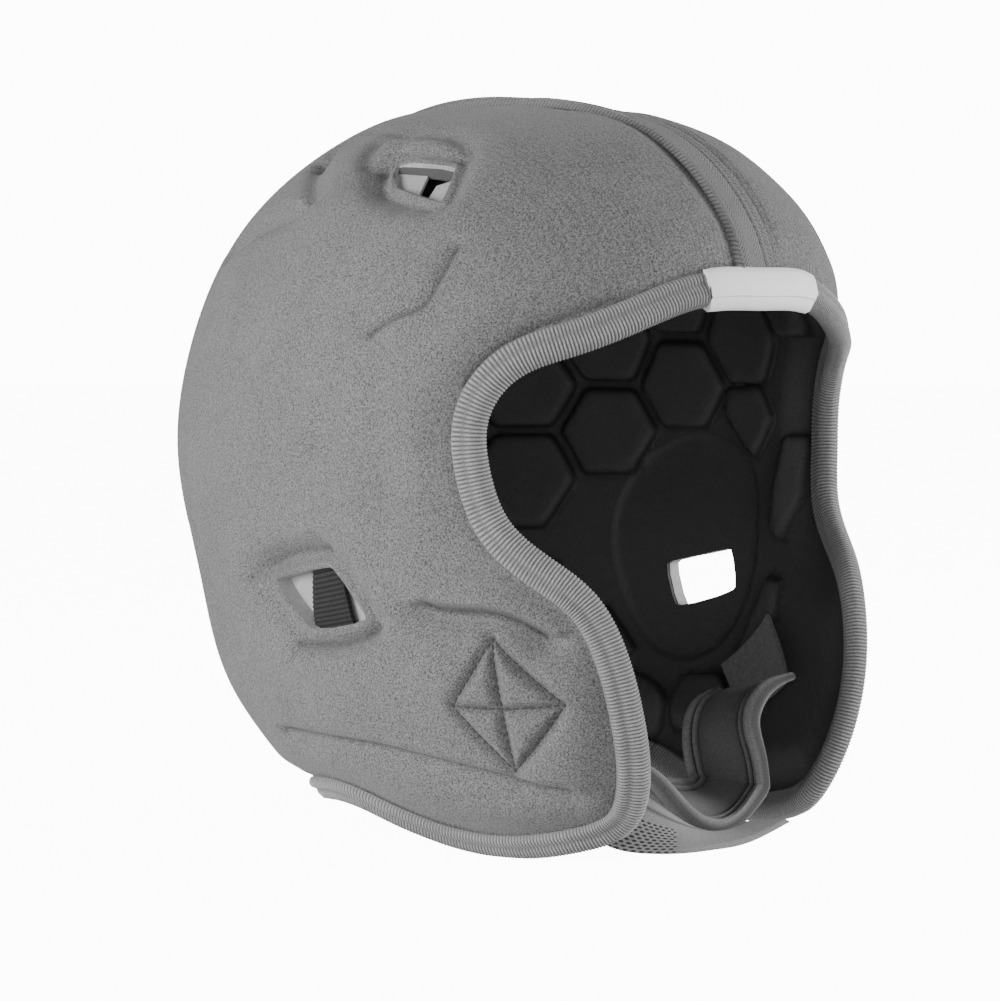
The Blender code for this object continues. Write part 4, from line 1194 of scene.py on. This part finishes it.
class RibbedBinding:
    """The ribbed binding, a channel folded over the whole rim."""

    rib_pitch: float = 0.00112
    rib_height: float = 0.00034
    groove_at: float = 0.58
    stations: int = 4

    def section(self) -> list[tuple]:
        """Points of the section: reach inside the rim, share from outer to inner face, lift, rib weight (of
        both the rib's height and its painted shade).
        """
        gap, wall = LAYERS.binding_gap, LAYERS.binding_wall
        full = gap + wall
        width, inner = LAYERS.binding_width, LAYERS.binding_inner_width
        return [
            (width + 0.0004, 0, gap * 0.3, 0.2), (width, 0, gap + wall * 0.55, 0.7),
            *((width * share, 0, full * 1.06, 1.0) for share in (0.90, 0.74)),
            (width * self.groove_at, 0, full * 0.78, 0.45),
            *((width * share, 0, full * 1.06, 1.0) for share in (0.42, 0.28, 0.12)),
            (-0.45 * full, 0.04, full * 0.8, 1.0), (-0.85 * full, 0.22, 0, 1.0), (-full, 0.5, 0, 0.9),
            (-0.85 * full, 0.78, 0, 0.8), (-0.45 * full, 0.96, full * 0.8, 0.6),
            *((inner * share, 1, full, 0.6) for share in (0.1, 0.35, 0.6, 0.85)),
            (inner, 1, gap * 0.6, 0.2), (inner * 0.4, 1, gap, 0), (-gap, 0.9, 0, 0), (-gap, 0.1, 0, 0),
            (width * 0.4, 0, gap, 0),
        ]

    def build(self) -> bpy.types.Object:
        """The binding."""
        length = arc_lengths(np.concatenate([RIM.positions, RIM.positions[:1]]))[-1]
        rim = RimPath(round(length / self.rib_pitch) * self.stations // 2)
        count = len(rim.loop)
        wave = 0.5 + 0.5 * np.cos(np.arange(count) * math.tau / self.stations)
        known = np.arange(0, count, 8)
        inner_face = np.interp(np.arange(count), known, floor_depth(rim.loop[::8]), period=count)
        normal = FORM.normals(rim.loop)
        rings, shade_and_dirt = [], []
        for reach, share, lift, weight in self.section():
            rib = self.rib_height * (wave - 0.5) * weight
            out = np.zeros(count)
            if share < 0.5:
                out = -LAYERS.rim_dip + lift + rib
            if share > 0.5:
                out = -inner_face - lift - rib
            if 0 < share < 1:
                middle = -LAYERS.rim_dip * (1 - share) - inner_face * share
                out = middle if lift == 0 else (out + middle) * 0.5
            beyond = rib if reach < 0 else 0
            rings.append(FORM.points(rim.inset(reach - beyond)) + normal * np.reshape(out, (-1, 1)))
            # Painted shade: lighter on the rib crests, darker in the valleys between them
            shade_and_dirt.append(wave * min(weight, 1) + (1 - min(weight, 1)) * 0.25)
        points, faces = band(np.stack(rings, 1), True)
        piece = Piece("ribbed_binding", points, faces, ("binding",), shade_and_dirt=np.stack(shade_and_dirt, 1).ravel())
        return report(piece.build(), "binding", "edge_binding")


class CrownTape:
    """The herringbone tape over the seam, with a corded edge on the right."""

    columns: int = 28
    stations: int = 420
    under_columns: tuple = (1.0, 0.3, -0.3, -1.0)
    # Places across, as shares of half the width from the left, with widths and heights
    cord_at: float = -0.86
    cord_width: float = 0.10
    cord_height: float = 0.0011
    valley_at: float = -0.66
    valley_width: float = 0.07
    rows_at: tuple = (0.42, 0.68)
    row_width: float = 0.05
    groove_depth: float = 0.0005
    edge_width: float = 0.06

    def build(self) -> bpy.types.Object:
        """The tape."""
        seam = seam_line(RIM, self.stations)
        points = FORM.points(seam)
        reach = np.linalg.norm(points[:, None] - points[[0, -1]], axis=-1).min(1)
        line = seam[reach > LAYERS.binding_width - 0.002]
        across = np.linspace(-1, 1, self.columns)
        columns = [self.face(line, share, self.lift(share)) for share in across]
        columns += [self.face(line, share, LAYERS.gap * 0.2) for share in self.under_columns]
        points, faces = band(np.stack(columns, 1), False)
        places = np.append(across, self.under_columns) * LAYERS.tape_width / 2
        run = arc_lengths(FORM.points(line))
        uv = np.stack(np.broadcast_arrays(places[None], run[:, None]), -1).reshape(-1, 2)
        piece = Piece("crown_tape_cloth", points, faces, ("tape",), uvs={"cloth": uv})
        return report(piece.build(), "tape", "crown_tape")

    def lift(self, share: float) -> float:
        """Height of the tape's face: a cord at the right edge, two sewn rows at the left."""
        height = LAYERS.tape_wall * 0.75 + self.cord_height * hill(share - self.cord_at, self.cord_width)
        height -= self.groove_depth * sum(hill(share - at, self.row_width) for at in self.rows_at)
        height -= self.groove_depth * hill(share - self.valley_at, self.valley_width)
        return LAYERS.gap * 0.5 + height * float(smooth_step((1 - abs(share)) / self.edge_width))

    def face(self, line: np.ndarray, share: float, lift: float) -> np.ndarray:
        """Points along the tape at one place across it."""
        directions = FORM.direction_of(FORM.points(line) + [share * LAYERS.tape_width / 2, 0, 0])
        share = RIM.share(FORM.points(directions))
        depth = LAYERS.rim_dip * (1 - share) + LAYERS.tape_sink * share - lift
        return FORM.place(directions, depth)


class BrowTab:
    """The white tab folded over the binding at the brow, left blank."""

    length: float = 0.0485
    shift: float = 0.0015
    wall: float = 0.0009
    samples: int = 620
    end_stations: int = 5
    end_pinch: float = 0.03

    def section(self) -> list[tuple]:
        """Points of the section: reach inside the rim, share from outer to inner face, lift."""
        under = LAYERS.binding_gap + LAYERS.binding_wall + LAYERS.gap
        over = under + self.wall
        width, inner = LAYERS.binding_width, LAYERS.binding_inner_width
        return [
            (width + 0.0012, 0, over * 0.55), (width, 0, over * 0.92),
            *((width * share, 0, over * 1.04) for share in (0.8, 0.5, 0.2)),
            (-0.5 * over, 0.05, over * 0.5), (-over, 0.3, 0), (-over - 0.0004, 0.5, 0), (-over, 0.7, 0),
            (-0.5 * over, 0.95, over * 0.5),
            *((inner * share, 1, over) for share in (0.2, 0.6, 0.95)),
            (inner * 0.95, 1, under), (0, 1, under), (-under, 0.5, 0), (0, 0, under),
            (width, 0, under * 0.7),
        ]

    def build(self) -> bpy.types.Object:
        """The tab."""
        rim = RimPath(self.samples)
        spacing = np.linalg.norm(rim.positions[1] - rim.positions[0])
        half = round(self.length / 2 / spacing)
        picked = np.arange(-half, half + 1)
        columns = []
        for reach, share, lift in self.section():
            directions = rim.inset(reach)[picked + round(self.shift / spacing)]
            inner_face = floor_depth(directions)
            outer = np.full(len(directions), LAYERS.rim_dip)
            depth = outer - lift if share < 0.5 else inner_face + lift
            if 0 < share < 1:
                depth = depth * 0.4 + (outer * (1 - share) + inner_face * share) * 0.6
            columns.append(FORM.place(directions, depth))
        rings = np.stack(columns, 1)
        ends = smooth_step((half - np.abs(picked)) / self.end_stations)[:, None, None]
        rings = rings + (rings.mean(1, keepdims=True) - rings) * (1 - ends) * self.end_pinch
        points, faces = band(rings, False)
        return report(Piece("brow_tab", points, faces, ("label",)).build(), "label", "brow_label")


class VentTrim:
    """What shows in the right vents: the ribbed web, and the cut foam behind it."""

    top_span: tuple = (0.59, 1.02)
    bottom_span: tuple = (-0.06, 0.62)
    depth: float = 0.0056
    wall: float = 0.0012
    ribs: int = 14
    rib_steps: int = 6
    rib_height: float = 0.0004
    plate_wall: float = 0.0009
    # A facet's finish, then its corners as share from the back, share from the top, and depth
    back_plate = (
        "lining",
        ((-0.1, -0.1, 0.0090), (1.1, -0.1, 0.0090), (1.1, 1.1, 0.0090), (-0.1, 1.1, 0.0090)),
    )
    facets = {
        "lower": (
            ("foam", ((-0.1, -0.1, 0.0074), (0.8, -0.1, 0.0080), (0.30, 1.1, 0.0084), (-0.1, 1.1, 0.0078))),
            ("foam", ((0.83, -0.1, 0.0078), (1.1, -0.1, 0.0069), (1.1, 1.1, 0.0069), (0.33, 1.1, 0.0082))),
            back_plate,
        ),
        "upper": (
            ("foam", ((-0.1, 0.34, 0.0052), (0.5, 0.22, 0.0064), (0.36, 1.1, 0.0072), (-0.1, 1.1, 0.0062))),
            ("binding", (
                (-0.1, -0.1, 0.0046), (1.1, -0.1, 0.0046), (1.02, 0.20, 0.0062), (0.5, 0.20, 0.0066),
                (-0.1, 0.32, 0.0054))),
            ("foam", ((0.70, 0.48, 0.0066), (1.1, 0.15, 0.0052), (1.1, 1.1, 0.0056), (0.56, 1.1, 0.0068))),
            back_plate,
        ),
    }

    def web(self) -> None:
        """The web across the lower vent."""
        rings, shade_and_dirt = [], []
        for step, down in enumerate(np.linspace(-0.06, 1.06, self.ribs * self.rib_steps + 1)):
            wave = 0.5 + 0.5 * math.cos(math.tau * step / self.rib_steps)
            low, high = (a + (b - a) * down for a, b in zip(self.top_span, self.bottom_span))
            shares = [*np.linspace(low, high, 6), *np.linspace(high, low, 2)]
            deep = [self.depth - wave * self.rib_height] * 6 + [self.depth + self.wall] * 2
            rings.append([RIGHT_LOWER_VENT.spot(a, down, d) * MIRROR for a, d in zip(shares, deep)])
            # Painted shade: lighter on the rib crests, darker between them
            shade_and_dirt += [wave] * len(shares)
        points, faces = band(np.array(rings), False)
        piece = Piece("ribbed_web", points, faces, ("web",), shade_and_dirt=np.array(shade_and_dirt))
        report(piece.build(), "web", "vent_web_right")

    def facet(self, name: str, vent: Vent, outline: tuple, finish: str) -> None:
        """One facet of cut foam, a thin closed plate."""
        plate = [
            [vent.spot(across, down, deep + wall) * MIRROR for across, down, deep in outline]
            for wall in (0, self.plate_wall)
        ]
        count = len(outline)
        faces = [list(range(count)), list(range(2 * count - 1, count - 1, -1))]
        faces += [[i, (i + 1) % count, count + (i + 1) % count, count + i] for i in range(count)]
        report(Piece(name, np.concatenate(plate), faces, (finish,)).build(), finish)

    def build(self) -> None:
        """Every piece in the right vents."""
        self.web()
        for place, vent in (("lower", RIGHT_LOWER_VENT), ("upper", UPPER_VENT)):
            for number, (finish, outline) in enumerate(self.facets[place], 1):
                self.facet(f"{place}_vent_foam_{number}", vent, outline, finish)


def strip_normals(front: np.ndarray, back: np.ndarray) -> np.ndarray:
    """Normals along the strip between two edges."""
    return unit(np.cross(back - front, np.gradient((front + back) / 2, axis=0)))


class ChinStrap:
    """The padded strap, sewn inside the right cheek, with its free end standing up."""

    # Sewn end: azimuth and elevation of its front and back edge, and how far both stand off the lining
    sewn: tuple = (
        (45, -31.0, 66, -35.0, 0.0),
        (43, -36.0, 64, -42.0, 0.0),
        (37, -42.5, 57, -49.0, 0.03),
        (33, -46.5, 49, -54.5, 0.06),
    )
    # Free end: places of its front and back edge, in shares of the form
    free: tuple = (
        (-0.305, -0.695, -1.000, -0.300, -0.460, -1.000),
        (-0.125, -0.695, -1.147, -0.110, -0.470, -1.045),
        (0.010, -0.695, -1.200, 0.030, -0.470, -1.075),
        (0.150, -0.695, -1.163, 0.150, -0.440, -1.090),
        (0.250, -0.695, -1.085, 0.230, -0.400, -1.080),
        (0.225, -0.695, -0.970, 0.210, -0.390, -1.000),
        (0.190, -0.695, -0.855, 0.225, -0.380, -0.915),
        (0.240, -0.700, -0.775, 0.255, -0.380, -0.855),
        (0.380, -0.705, -0.735, 0.320, -0.380, -0.815),
    )
    # The cup's lower edge: share along the strap, then the place in shares of the form
    cup_edge: tuple = (
        (0.29, -0.480, -0.490, -1.150),
        (0.36, -0.400, -0.600, -1.215),
        (0.42, -0.335, -0.665, -1.236),
        (0.48, -0.220, -0.735, -1.242),
        (0.54, -0.060, -0.765, -1.240),
        (0.60, 0.110, -0.768, -1.228),
        (0.65, 0.265, -0.775, -1.190),
    )
    # Half of the section: share across, and height in half thicknesses
    half_section: tuple = (
        (0.0, 0.35), (0.010, 0.85), (0.035, 1.22), (0.075, 1.25), (0.108, 0.90), (0.125, 0.30),
        (0.142, 0.72), (0.165, 0.98), (0.188, 0.72), (0.205, 0.36), (0.24, 0.60), (0.36, 0.68),
    )
    stations: int = 200
    fold_row: int = 4
    end_taper: float = 0.016
    cup_samples: int = 34
    cup_stations: int = 90
    cup_columns: int = 40
    cup_lift: float = 0.4
    cup_inset: float = 0.0025
    cup_uv_width: float = 0.03
    mesh_share: float = 0.50
    mesh_height: float = 0.55
    piping_at: float = 0.80
    piping_width: float = 0.05
    piping_height: float = 0.0010
    # Painted shade in the seams beside the piping: its offset and width
    groove_shade_off: float = 0.085
    groove_shade_width: float = 0.03

    def edges(self, stations: int) -> tuple[np.ndarray, np.ndarray]:
        """Front and back edge of the strap's middle surface."""
        rows = []
        for *angles, lift in self.sewn:
            ends = towards(angles)
            floor = floor_depth(ends) + LAYERS.pad_rise + LAYERS.gap + LAYERS.strap / 2
            rows.append((FORM.place(ends, floor + lift * FORM.width / 2) * MIRROR).ravel())
        both = np.array(rows + [np.array(row) * np.tile(FORM.scale, 2) for row in self.free])
        knots = arc_lengths((both[:, :3] + both[:, 3:]) / 2)
        at = np.linspace(0, knots[-1], stations)
        turn = len(self.sewn) + self.fold_row
        before = at <= knots[turn]
        line = np.concatenate([
            spline(knots[: turn + 1], both[: turn + 1], at[before]),
            spline(knots[turn:], both[turn:], at[~before]),
        ])
        return line[:, :3], line[:, 3:]

    def profile(self) -> list[tuple]:
        """The section as a closed ring."""
        half = list(self.half_section)
        top = half + [(0.5, 0.70)] + [(1 - across, height) for across, height in half[::-1]]
        return top + [(across, -height) for across, height in top[::-1]]

    def build(self) -> bpy.types.Object:
        """The strap."""
        front, back = self.edges(self.stations)
        normal = strip_normals(front, back)
        width = np.linalg.norm(back - front, axis=1)
        run = arc_lengths((front + back) / 2)
        half = LAYERS.strap / 2
        taper = 0.42 + 0.58 * smooth_step((run[-1] - run) / self.end_taper)
        rings, uv, shade_and_dirt = [], [], []
        for across, height in self.profile():
            lift = normal * (height * half * taper)[:, None]
            rings.append(front * (1 - across) + back * across + lift)
            uv.append(np.stack([across * width, run], -1))
            # Painted shade: darker where the section sinks, at its edges and in its grooves
            shade_and_dirt.append(np.full(len(run), min(1.0, max(0.0, (abs(height) - 0.3) / 0.9))))
        points, faces = band(np.stack(rings, 1), False)
        maps, shade_and_dirt = {"cloth": np.stack(uv, 1).reshape(-1, 2)}, np.stack(shade_and_dirt, 1).ravel()
        piece = Piece("padded_chin_strap", points, faces, ("strap",), shade_and_dirt=shade_and_dirt, uvs=maps)
        return report(piece.build(), "strap", "chin_strap", fill=0.8)

    def build_cup(self) -> bpy.types.Object:
        """The outer layer under the strap, from the right cheek to its pointed corner."""
        stations, columns = self.cup_stations, self.cup_columns
        front, back = self.edges(self.cup_samples)
        rows = np.array(self.cup_edge)
        at = np.linspace(rows[0, 0], rows[-1, 0], stations)
        lower = spline(rows[:, 0], rows[:, 1:], at) * FORM.scale
        under = front + strip_normals(front, back) * (LAYERS.strap * self.cup_lift)
        under += unit(back - front) * self.cup_inset
        upper = spline(np.linspace(0, 1, len(front)), under, at)
        out = strip_normals(lower, upper)
        run = arc_lengths(lower)
        rings, uv, shade_and_dirt = [], [], []
        shares = np.linspace(0, 1, columns)
        for sign, order in ((1, shares), (-1, shares[::-1])):
            for share in order:
                rim = 1 - 0.75 * max(0.0, 1 - min(share, 1 - share) / 0.08)
                puff = 0.5 + 0.5 * math.sin(math.pi * share)
                height = LAYERS.cup / 2 * rim * (0.7 + 0.5 * puff)
                off = share - self.piping_at
                height += self.piping_height * hill(off, self.piping_width) if sign > 0 else 0.0
                # Painted shade in the seams beside the piping
                dark = sum(hill(off - side * self.groove_shade_off, self.groove_shade_width) for side in (1, -1))
                shade_and_dirt.append(np.full(stations, 1 - 0.9 * min(dark, 1.0)))
                rings.append(lower * (1 - share) + upper * share + out * sign * height)
                uv.append(np.stack([run, np.full(stations, share * self.cup_uv_width)], -1))
        points, faces = band(np.stack(rings, 1), False)
        station, row = np.divmod([min(face) for face in faces], 2 * columns)
        row = np.where(row < columns, row, 2 * columns - 1 - row) / columns
        finish = ((station < self.mesh_share * stations) & (row < self.mesh_height)).astype(int)
        maps, shade_and_dirt = {"cloth": np.stack(uv, 1).reshape(-1, 2)}, np.stack(shade_and_dirt, 1).ravel()
        piece = Piece("chin_cup_cloth", points, faces, ("cup", "mesh"), finish, shade_and_dirt, maps)
        return report(piece.build(), "cup", "chin_cup", fill=0.5)


class LoopPatch:
    """The fastening patch inside the left cheek."""

    corners: tuple = ((70.5, -31.5), (57.5, -41.5), (71, -50.0), (84.0, -42.5))
    wall: float = 0.0012
    rows: int = 24

    def build(self) -> bpy.types.Object:
        """The patch."""
        corners = towards(self.corners)
        shares = np.linspace(0, 1, self.rows)
        rings = []
        for up in shares:
            top = corners[0] * (1 - up) + corners[3] * up
            bottom = corners[1] * (1 - up) + corners[2] * up
            line = unit(np.array([top * (1 - share) + bottom * share for share in shares]))
            under = floor_depth(line) + LAYERS.pad_rise + LAYERS.gap
            faces = FORM.place(line, under), FORM.place(line, under + self.wall)[::-1]
            rings.append(np.concatenate(faces))
        points, faces = band(np.array(rings), False)
        return report(Piece("loop_pile_patch", points, faces, ("pile",)).build(), "pile", "loop_patch")


class StitchTree(NodeBuilder):
    """A node tree that lays short stitches along lines."""

    kinds = {"Pitch": "Float", "Length": "Float", "Radius": "Float", "Slant": "Float", "Thread": "Material"}

    def __init__(self) -> None:
        """Builds the tree with its named inputs."""
        super().__init__(bpy.data.node_groups.new("stitches", "GeometryNodeTree"))
        face = self.tree.interface
        face.new_socket("Geometry", in_out="INPUT", socket_type="NodeSocketGeometry")
        self.inputs = {}
        for name, kind in self.kinds.items():
            socket = face.new_socket(name, in_out="INPUT", socket_type=f"NodeSocket{kind}")
            self.inputs[name] = socket.identifier
        face.new_socket("Geometry", in_out="OUTPUT", socket_type="NodeSocketGeometry")
        start, end = self.add("NodeGroupInput"), self.add("NodeGroupOutput")
        length, radius = start.outputs["Length"], start.outputs["Radius"]
        curve = self.add("GeometryNodeMeshToCurve", {"Mesh": start.outputs["Geometry"]})
        spaced = self.add(
            "GeometryNodeResampleCurve", {"Curve": curve.outputs[0], "Length": start.outputs["Pitch"]},
            mode="LENGTH")
        ball = self.add("GeometryNodeMeshUVSphere", {"Segments": 6, "Rings": 5, "Radius": 0.5})
        size = self.add("ShaderNodeCombineXYZ", {"X": length, "Y": radius, "Z": radius})
        tangent = self.add("GeometryNodeInputTangent")
        out = self.add("GeometryNodeInputNamedAttribute", {"Name": "out"}, data_type="FLOAT_VECTOR")
        align = "FunctionNodeAlignRotationToVector"
        along = self.add(align, {"Vector": tangent.outputs[0]}, axis="X")
        upright = self.add(
            align, {"Rotation": along.outputs[0], "Vector": out.outputs[0]}, axis="Z", pivot_axis="X")
        tilt = self.add("ShaderNodeCombineXYZ", {"Z": start.outputs["Slant"]})
        turned = self.add(
            "FunctionNodeRotateRotation", {"Rotation": upright.outputs[0], "Rotate By": tilt.outputs[0]},
            rotation_space="LOCAL")
        laid = self.add("GeometryNodeInstanceOnPoints", {
            "Points": spaced.outputs[0], "Instance": ball.outputs[0], "Rotation": turned.outputs[0],
            "Scale": size.outputs[0],
        })
        real = self.add("GeometryNodeRealizeInstances", {0: laid.outputs[0]})
        thread = {"Geometry": real.outputs[0], "Material": start.outputs["Thread"]}
        self.fill(end, {0: self.add("GeometryNodeSetMaterial", thread).outputs[0]})


@dataclass
class StitchRun:
    """Lines of stitches that share a thread."""

    name: str
    finish: str
    lines: list
    pitch: float
    length: float
    radius: float
    slant: float = 0.0

    def build(self, tree: StitchTree) -> bpy.types.Object:
        """The stitches as one mesh."""
        points, normals, edges = [], [], []
        for line, normal in self.lines:
            start = len(points)
            points += (line + HEAD_CENTRE).tolist()
            normals += normal.tolist()
            edges += [(start + i, start + i + 1) for i in range(len(line) - 1)]
        mesh = bpy.data.meshes.new(self.name + "_path")
        mesh.from_pydata(points, edges, [])
        layer = mesh.attributes.new("out", "FLOAT_VECTOR", "POINT")
        layer.data.foreach_set("vector", np.asarray(normals, np.float32).ravel())
        path = added(self.name + "_path", mesh)
        modifier = path.modifiers.new("stitches", "NODES")
        modifier.node_group = tree.tree
        values = {"Pitch": self.pitch, "Length": self.length, "Radius": self.radius, "Slant": self.slant}
        for name, value in {**values, "Thread": WARDROBE.material(self.finish)}.items():
            modifier[tree.inputs[name]] = value
        graph = bpy.context.evaluated_depsgraph_get()
        made = bpy.data.meshes.new_from_object(path.evaluated_get(graph), depsgraph=graph)
        thing = added(self.name, made)
        bpy.data.objects.remove(path)
        made.polygons.foreach_set("use_smooth", np.ones(len(made.polygons), bool))
        LOG.info("%s: %d faces", self.name, len(made.polygons))
        return report(thing, self.finish)


class Stitching:
    """All the sewn lines that show."""

    lift: float = 0.0001
    strap_samples: int = 160
    strap_rows: tuple = (0.14, 0.86)
    strap_height: float = 0.24

    def __init__(self, strap: ChinStrap) -> None:
        """Keeps the strap, whose seams are sewn too."""
        self.tree = StitchTree()
        self.strap = strap
        self.shells = {side: FoamShell(side) for side in Side}

    def on_shell(self, line: np.ndarray, side: Side) -> tuple[np.ndarray, np.ndarray]:
        """A line laid on the cover, and its normals."""
        flip = [side.value, 1, 1]
        depth = self.shells[side].depth(line) - self.lift
        return FORM.place(line, depth) * flip, FORM.normals(line) * flip

    def on_tape(self, share: float, lift: float) -> tuple[np.ndarray, np.ndarray]:
        """A line along the tape, and its normals."""
        tape = CrownTape()
        seam = SEAM[5:-5]
        return tape.face(seam, share, tape.lift(share) + lift), FORM.normals(seam)

    def on_strap(self) -> list:
        """Lines beside the strap's piping, on both its faces, each with its normals."""
        front, back = self.strap.edges(self.strap_samples)
        normal = strip_normals(front, back)
        lines = []
        for across in self.strap_rows:
            middle = front * (1 - across) + back * across
            for sign in (1, -1):
                lines.append((middle + normal * sign * LAYERS.strap * self.strap_height, normal * sign))
        return lines

    def build(self) -> None:
        """Sews every line."""
        diamonds = [self.on_shell(line, side) for side in Side for line in diamond_lines()]
        rows = [self.on_tape(share, 0.0) for share in CrownTape.rows_at]
        cord = [self.on_tape(CrownTape.cord_at, self.lift)]
        for run in (
            StitchRun("cheek_stitching", "thread", diamonds, pitch=0.0023, length=0.0021, radius=0.0007),
            StitchRun("tape_stitching", "thread", rows, pitch=0.0024, length=0.0021, radius=0.0006),
            StitchRun("tape_cord", "cord", cord, pitch=0.0013, length=0.0030, radius=0.0011, slant=0.6),
            StitchRun("strap_stitching", "dark thread", self.on_strap(), 0.0021, 0.0017, 0.0005),
        ):
            run.build(self.tree)


@dataclass
class Studio:
    """Pale floor, soft light and a camera at the photograph's angle."""

    azimuth: float = -47.07
    elevation: float = 2.07
    distance: float = 1.094
    focal_pixels: float = 3519.0
    sensor: float = 36.0
    image: tuple = (1000, 1001)
    centre_at: tuple = (555.0, 445.5)
    floor_half: float = 6.0
    floor_glow: float = 12.0
    backdrop_glow: float = 16.0
    # Name, degrees round from the camera to the picture's left, degrees up, distance, side, watts
    lamps: tuple = (
        ("left_box", 60, 7, 1.5, 0.9, 40),
        ("right_box", -95, 12, 1.5, 0.9, 35),
        ("front_box", -12, 0, 1.9, 1.4, 15),
    )

    def aimed(self, data: bpy.types.ID, azimuth: float, elevation: float, far: float) -> bpy.types.Object:
        """A camera or lamp that looks at the head from this angle and distance."""
        a, e = math.radians(azimuth), math.radians(elevation)
        back = Vector((math.sin(a) * math.cos(e), -math.cos(a) * math.cos(e), math.sin(e)))
        thing = added(data.name, data)
        thing.location = Vector(HEAD_CENTRE) + back * far
        thing.rotation_euler = (-back).to_track_quat("-Z", "Y").to_euler()
        return thing

    def camera(self) -> None:
        """Sets the camera where the photograph was taken from."""
        data = bpy.data.cameras.new("camera")
        longest = max(self.image)
        data.sensor_width = self.sensor
        data.lens = self.focal_pixels * data.sensor_width / longest
        data.shift_x = (self.image[0] / 2 - self.centre_at[0]) / longest
        data.shift_y = (self.centre_at[1] - self.image[1] / 2) / longest
        bpy.context.scene.camera = self.aimed(data, self.azimuth, self.elevation, self.distance)

    def light(self) -> None:
        """Adds the soft lamps."""
        for name, around, up, far, size, power in self.lamps:
            data = bpy.data.lights.new(name, "AREA")
            data.energy, data.size = power, size
            self.aimed(data, self.azimuth - around, up, far)

    def floor(self) -> None:
        """Adds the pale floor."""
        mesh = bpy.data.meshes.new("floor")
        half = self.floor_half
        corners = [(-half, -half, 0), (half, -half, 0), (half, half, 0), (-half, half, 0)]
        mesh.from_pydata(corners, [], [(0, 1, 2, 3)])
        pale = bpy.data.materials.new("pale_floor")
        pale.use_nodes = True
        NodeBuilder(pale.node_tree).fill(pale.node_tree.nodes["Principled BSDF"], {
            "Base Color": (0.92, 0.92, 0.92, 1), "Roughness": 0.9,
            "Emission Color": (1, 1, 1, 1), "Emission Strength": self.floor_glow,
        })
        mesh.materials.append(pale)
        floor = added("floor", mesh)
        floor.visible_diffuse = floor.visible_glossy = False

    def world(self) -> None:
        """Lights the scene from all round, and shows the camera an even pale backdrop."""
        world = bpy.data.worlds.new("studio")
        world.use_nodes = True
        nodes = NodeBuilder(world.node_tree)
        background, output = (nodes.tree.nodes[name] for name in ("Background", "World Output"))
        place = nodes.add("ShaderNodeTexCoord")
        split = nodes.add("ShaderNodeSeparateXYZ", {0: place.outputs["Generated"]})
        fall = nodes.add("ShaderNodeMapRange", {
            "Value": split.outputs["Z"], "From Min": 0.0, "From Max": 0.8, "To Min": 0.66, "To Max": 0.03,
        })
        nodes.fill(background, {"Strength": fall.outputs[0], "Color": (1, 1, 1, 1)})
        backdrop = nodes.add("ShaderNodeBackground", {"Strength": self.backdrop_glow})
        path = nodes.add("ShaderNodeLightPath")
        shaders = {1: background.outputs[0], 2: backdrop.outputs[0]}
        mix = nodes.add("ShaderNodeMixShader", {0: path.outputs["Is Camera Ray"], **shaders})
        nodes.fill(output, {"Surface": mix.outputs[0]})
        bpy.context.scene.world = world

    def build(self) -> None:
        """Sets up the whole studio."""
        self.camera()
        self.floor()
        self.light()
        self.world()


def main() -> None:
    """Builds every piece in order."""
    logging.basicConfig(level=logging.INFO, format="%(message)s")
    Studio().build()
    for side in Side:
        FoamShell(side).build()
    VentTrim().build()
    PaddedLining().build()
    RibbedBinding().build()
    CrownTape().build()
    BrowTab().build()
    LoopPatch().build()
    strap = ChinStrap()
    strap.build()
    strap.build_cup()
    Stitching(strap).build()


if __name__ == "__main__":
    main()
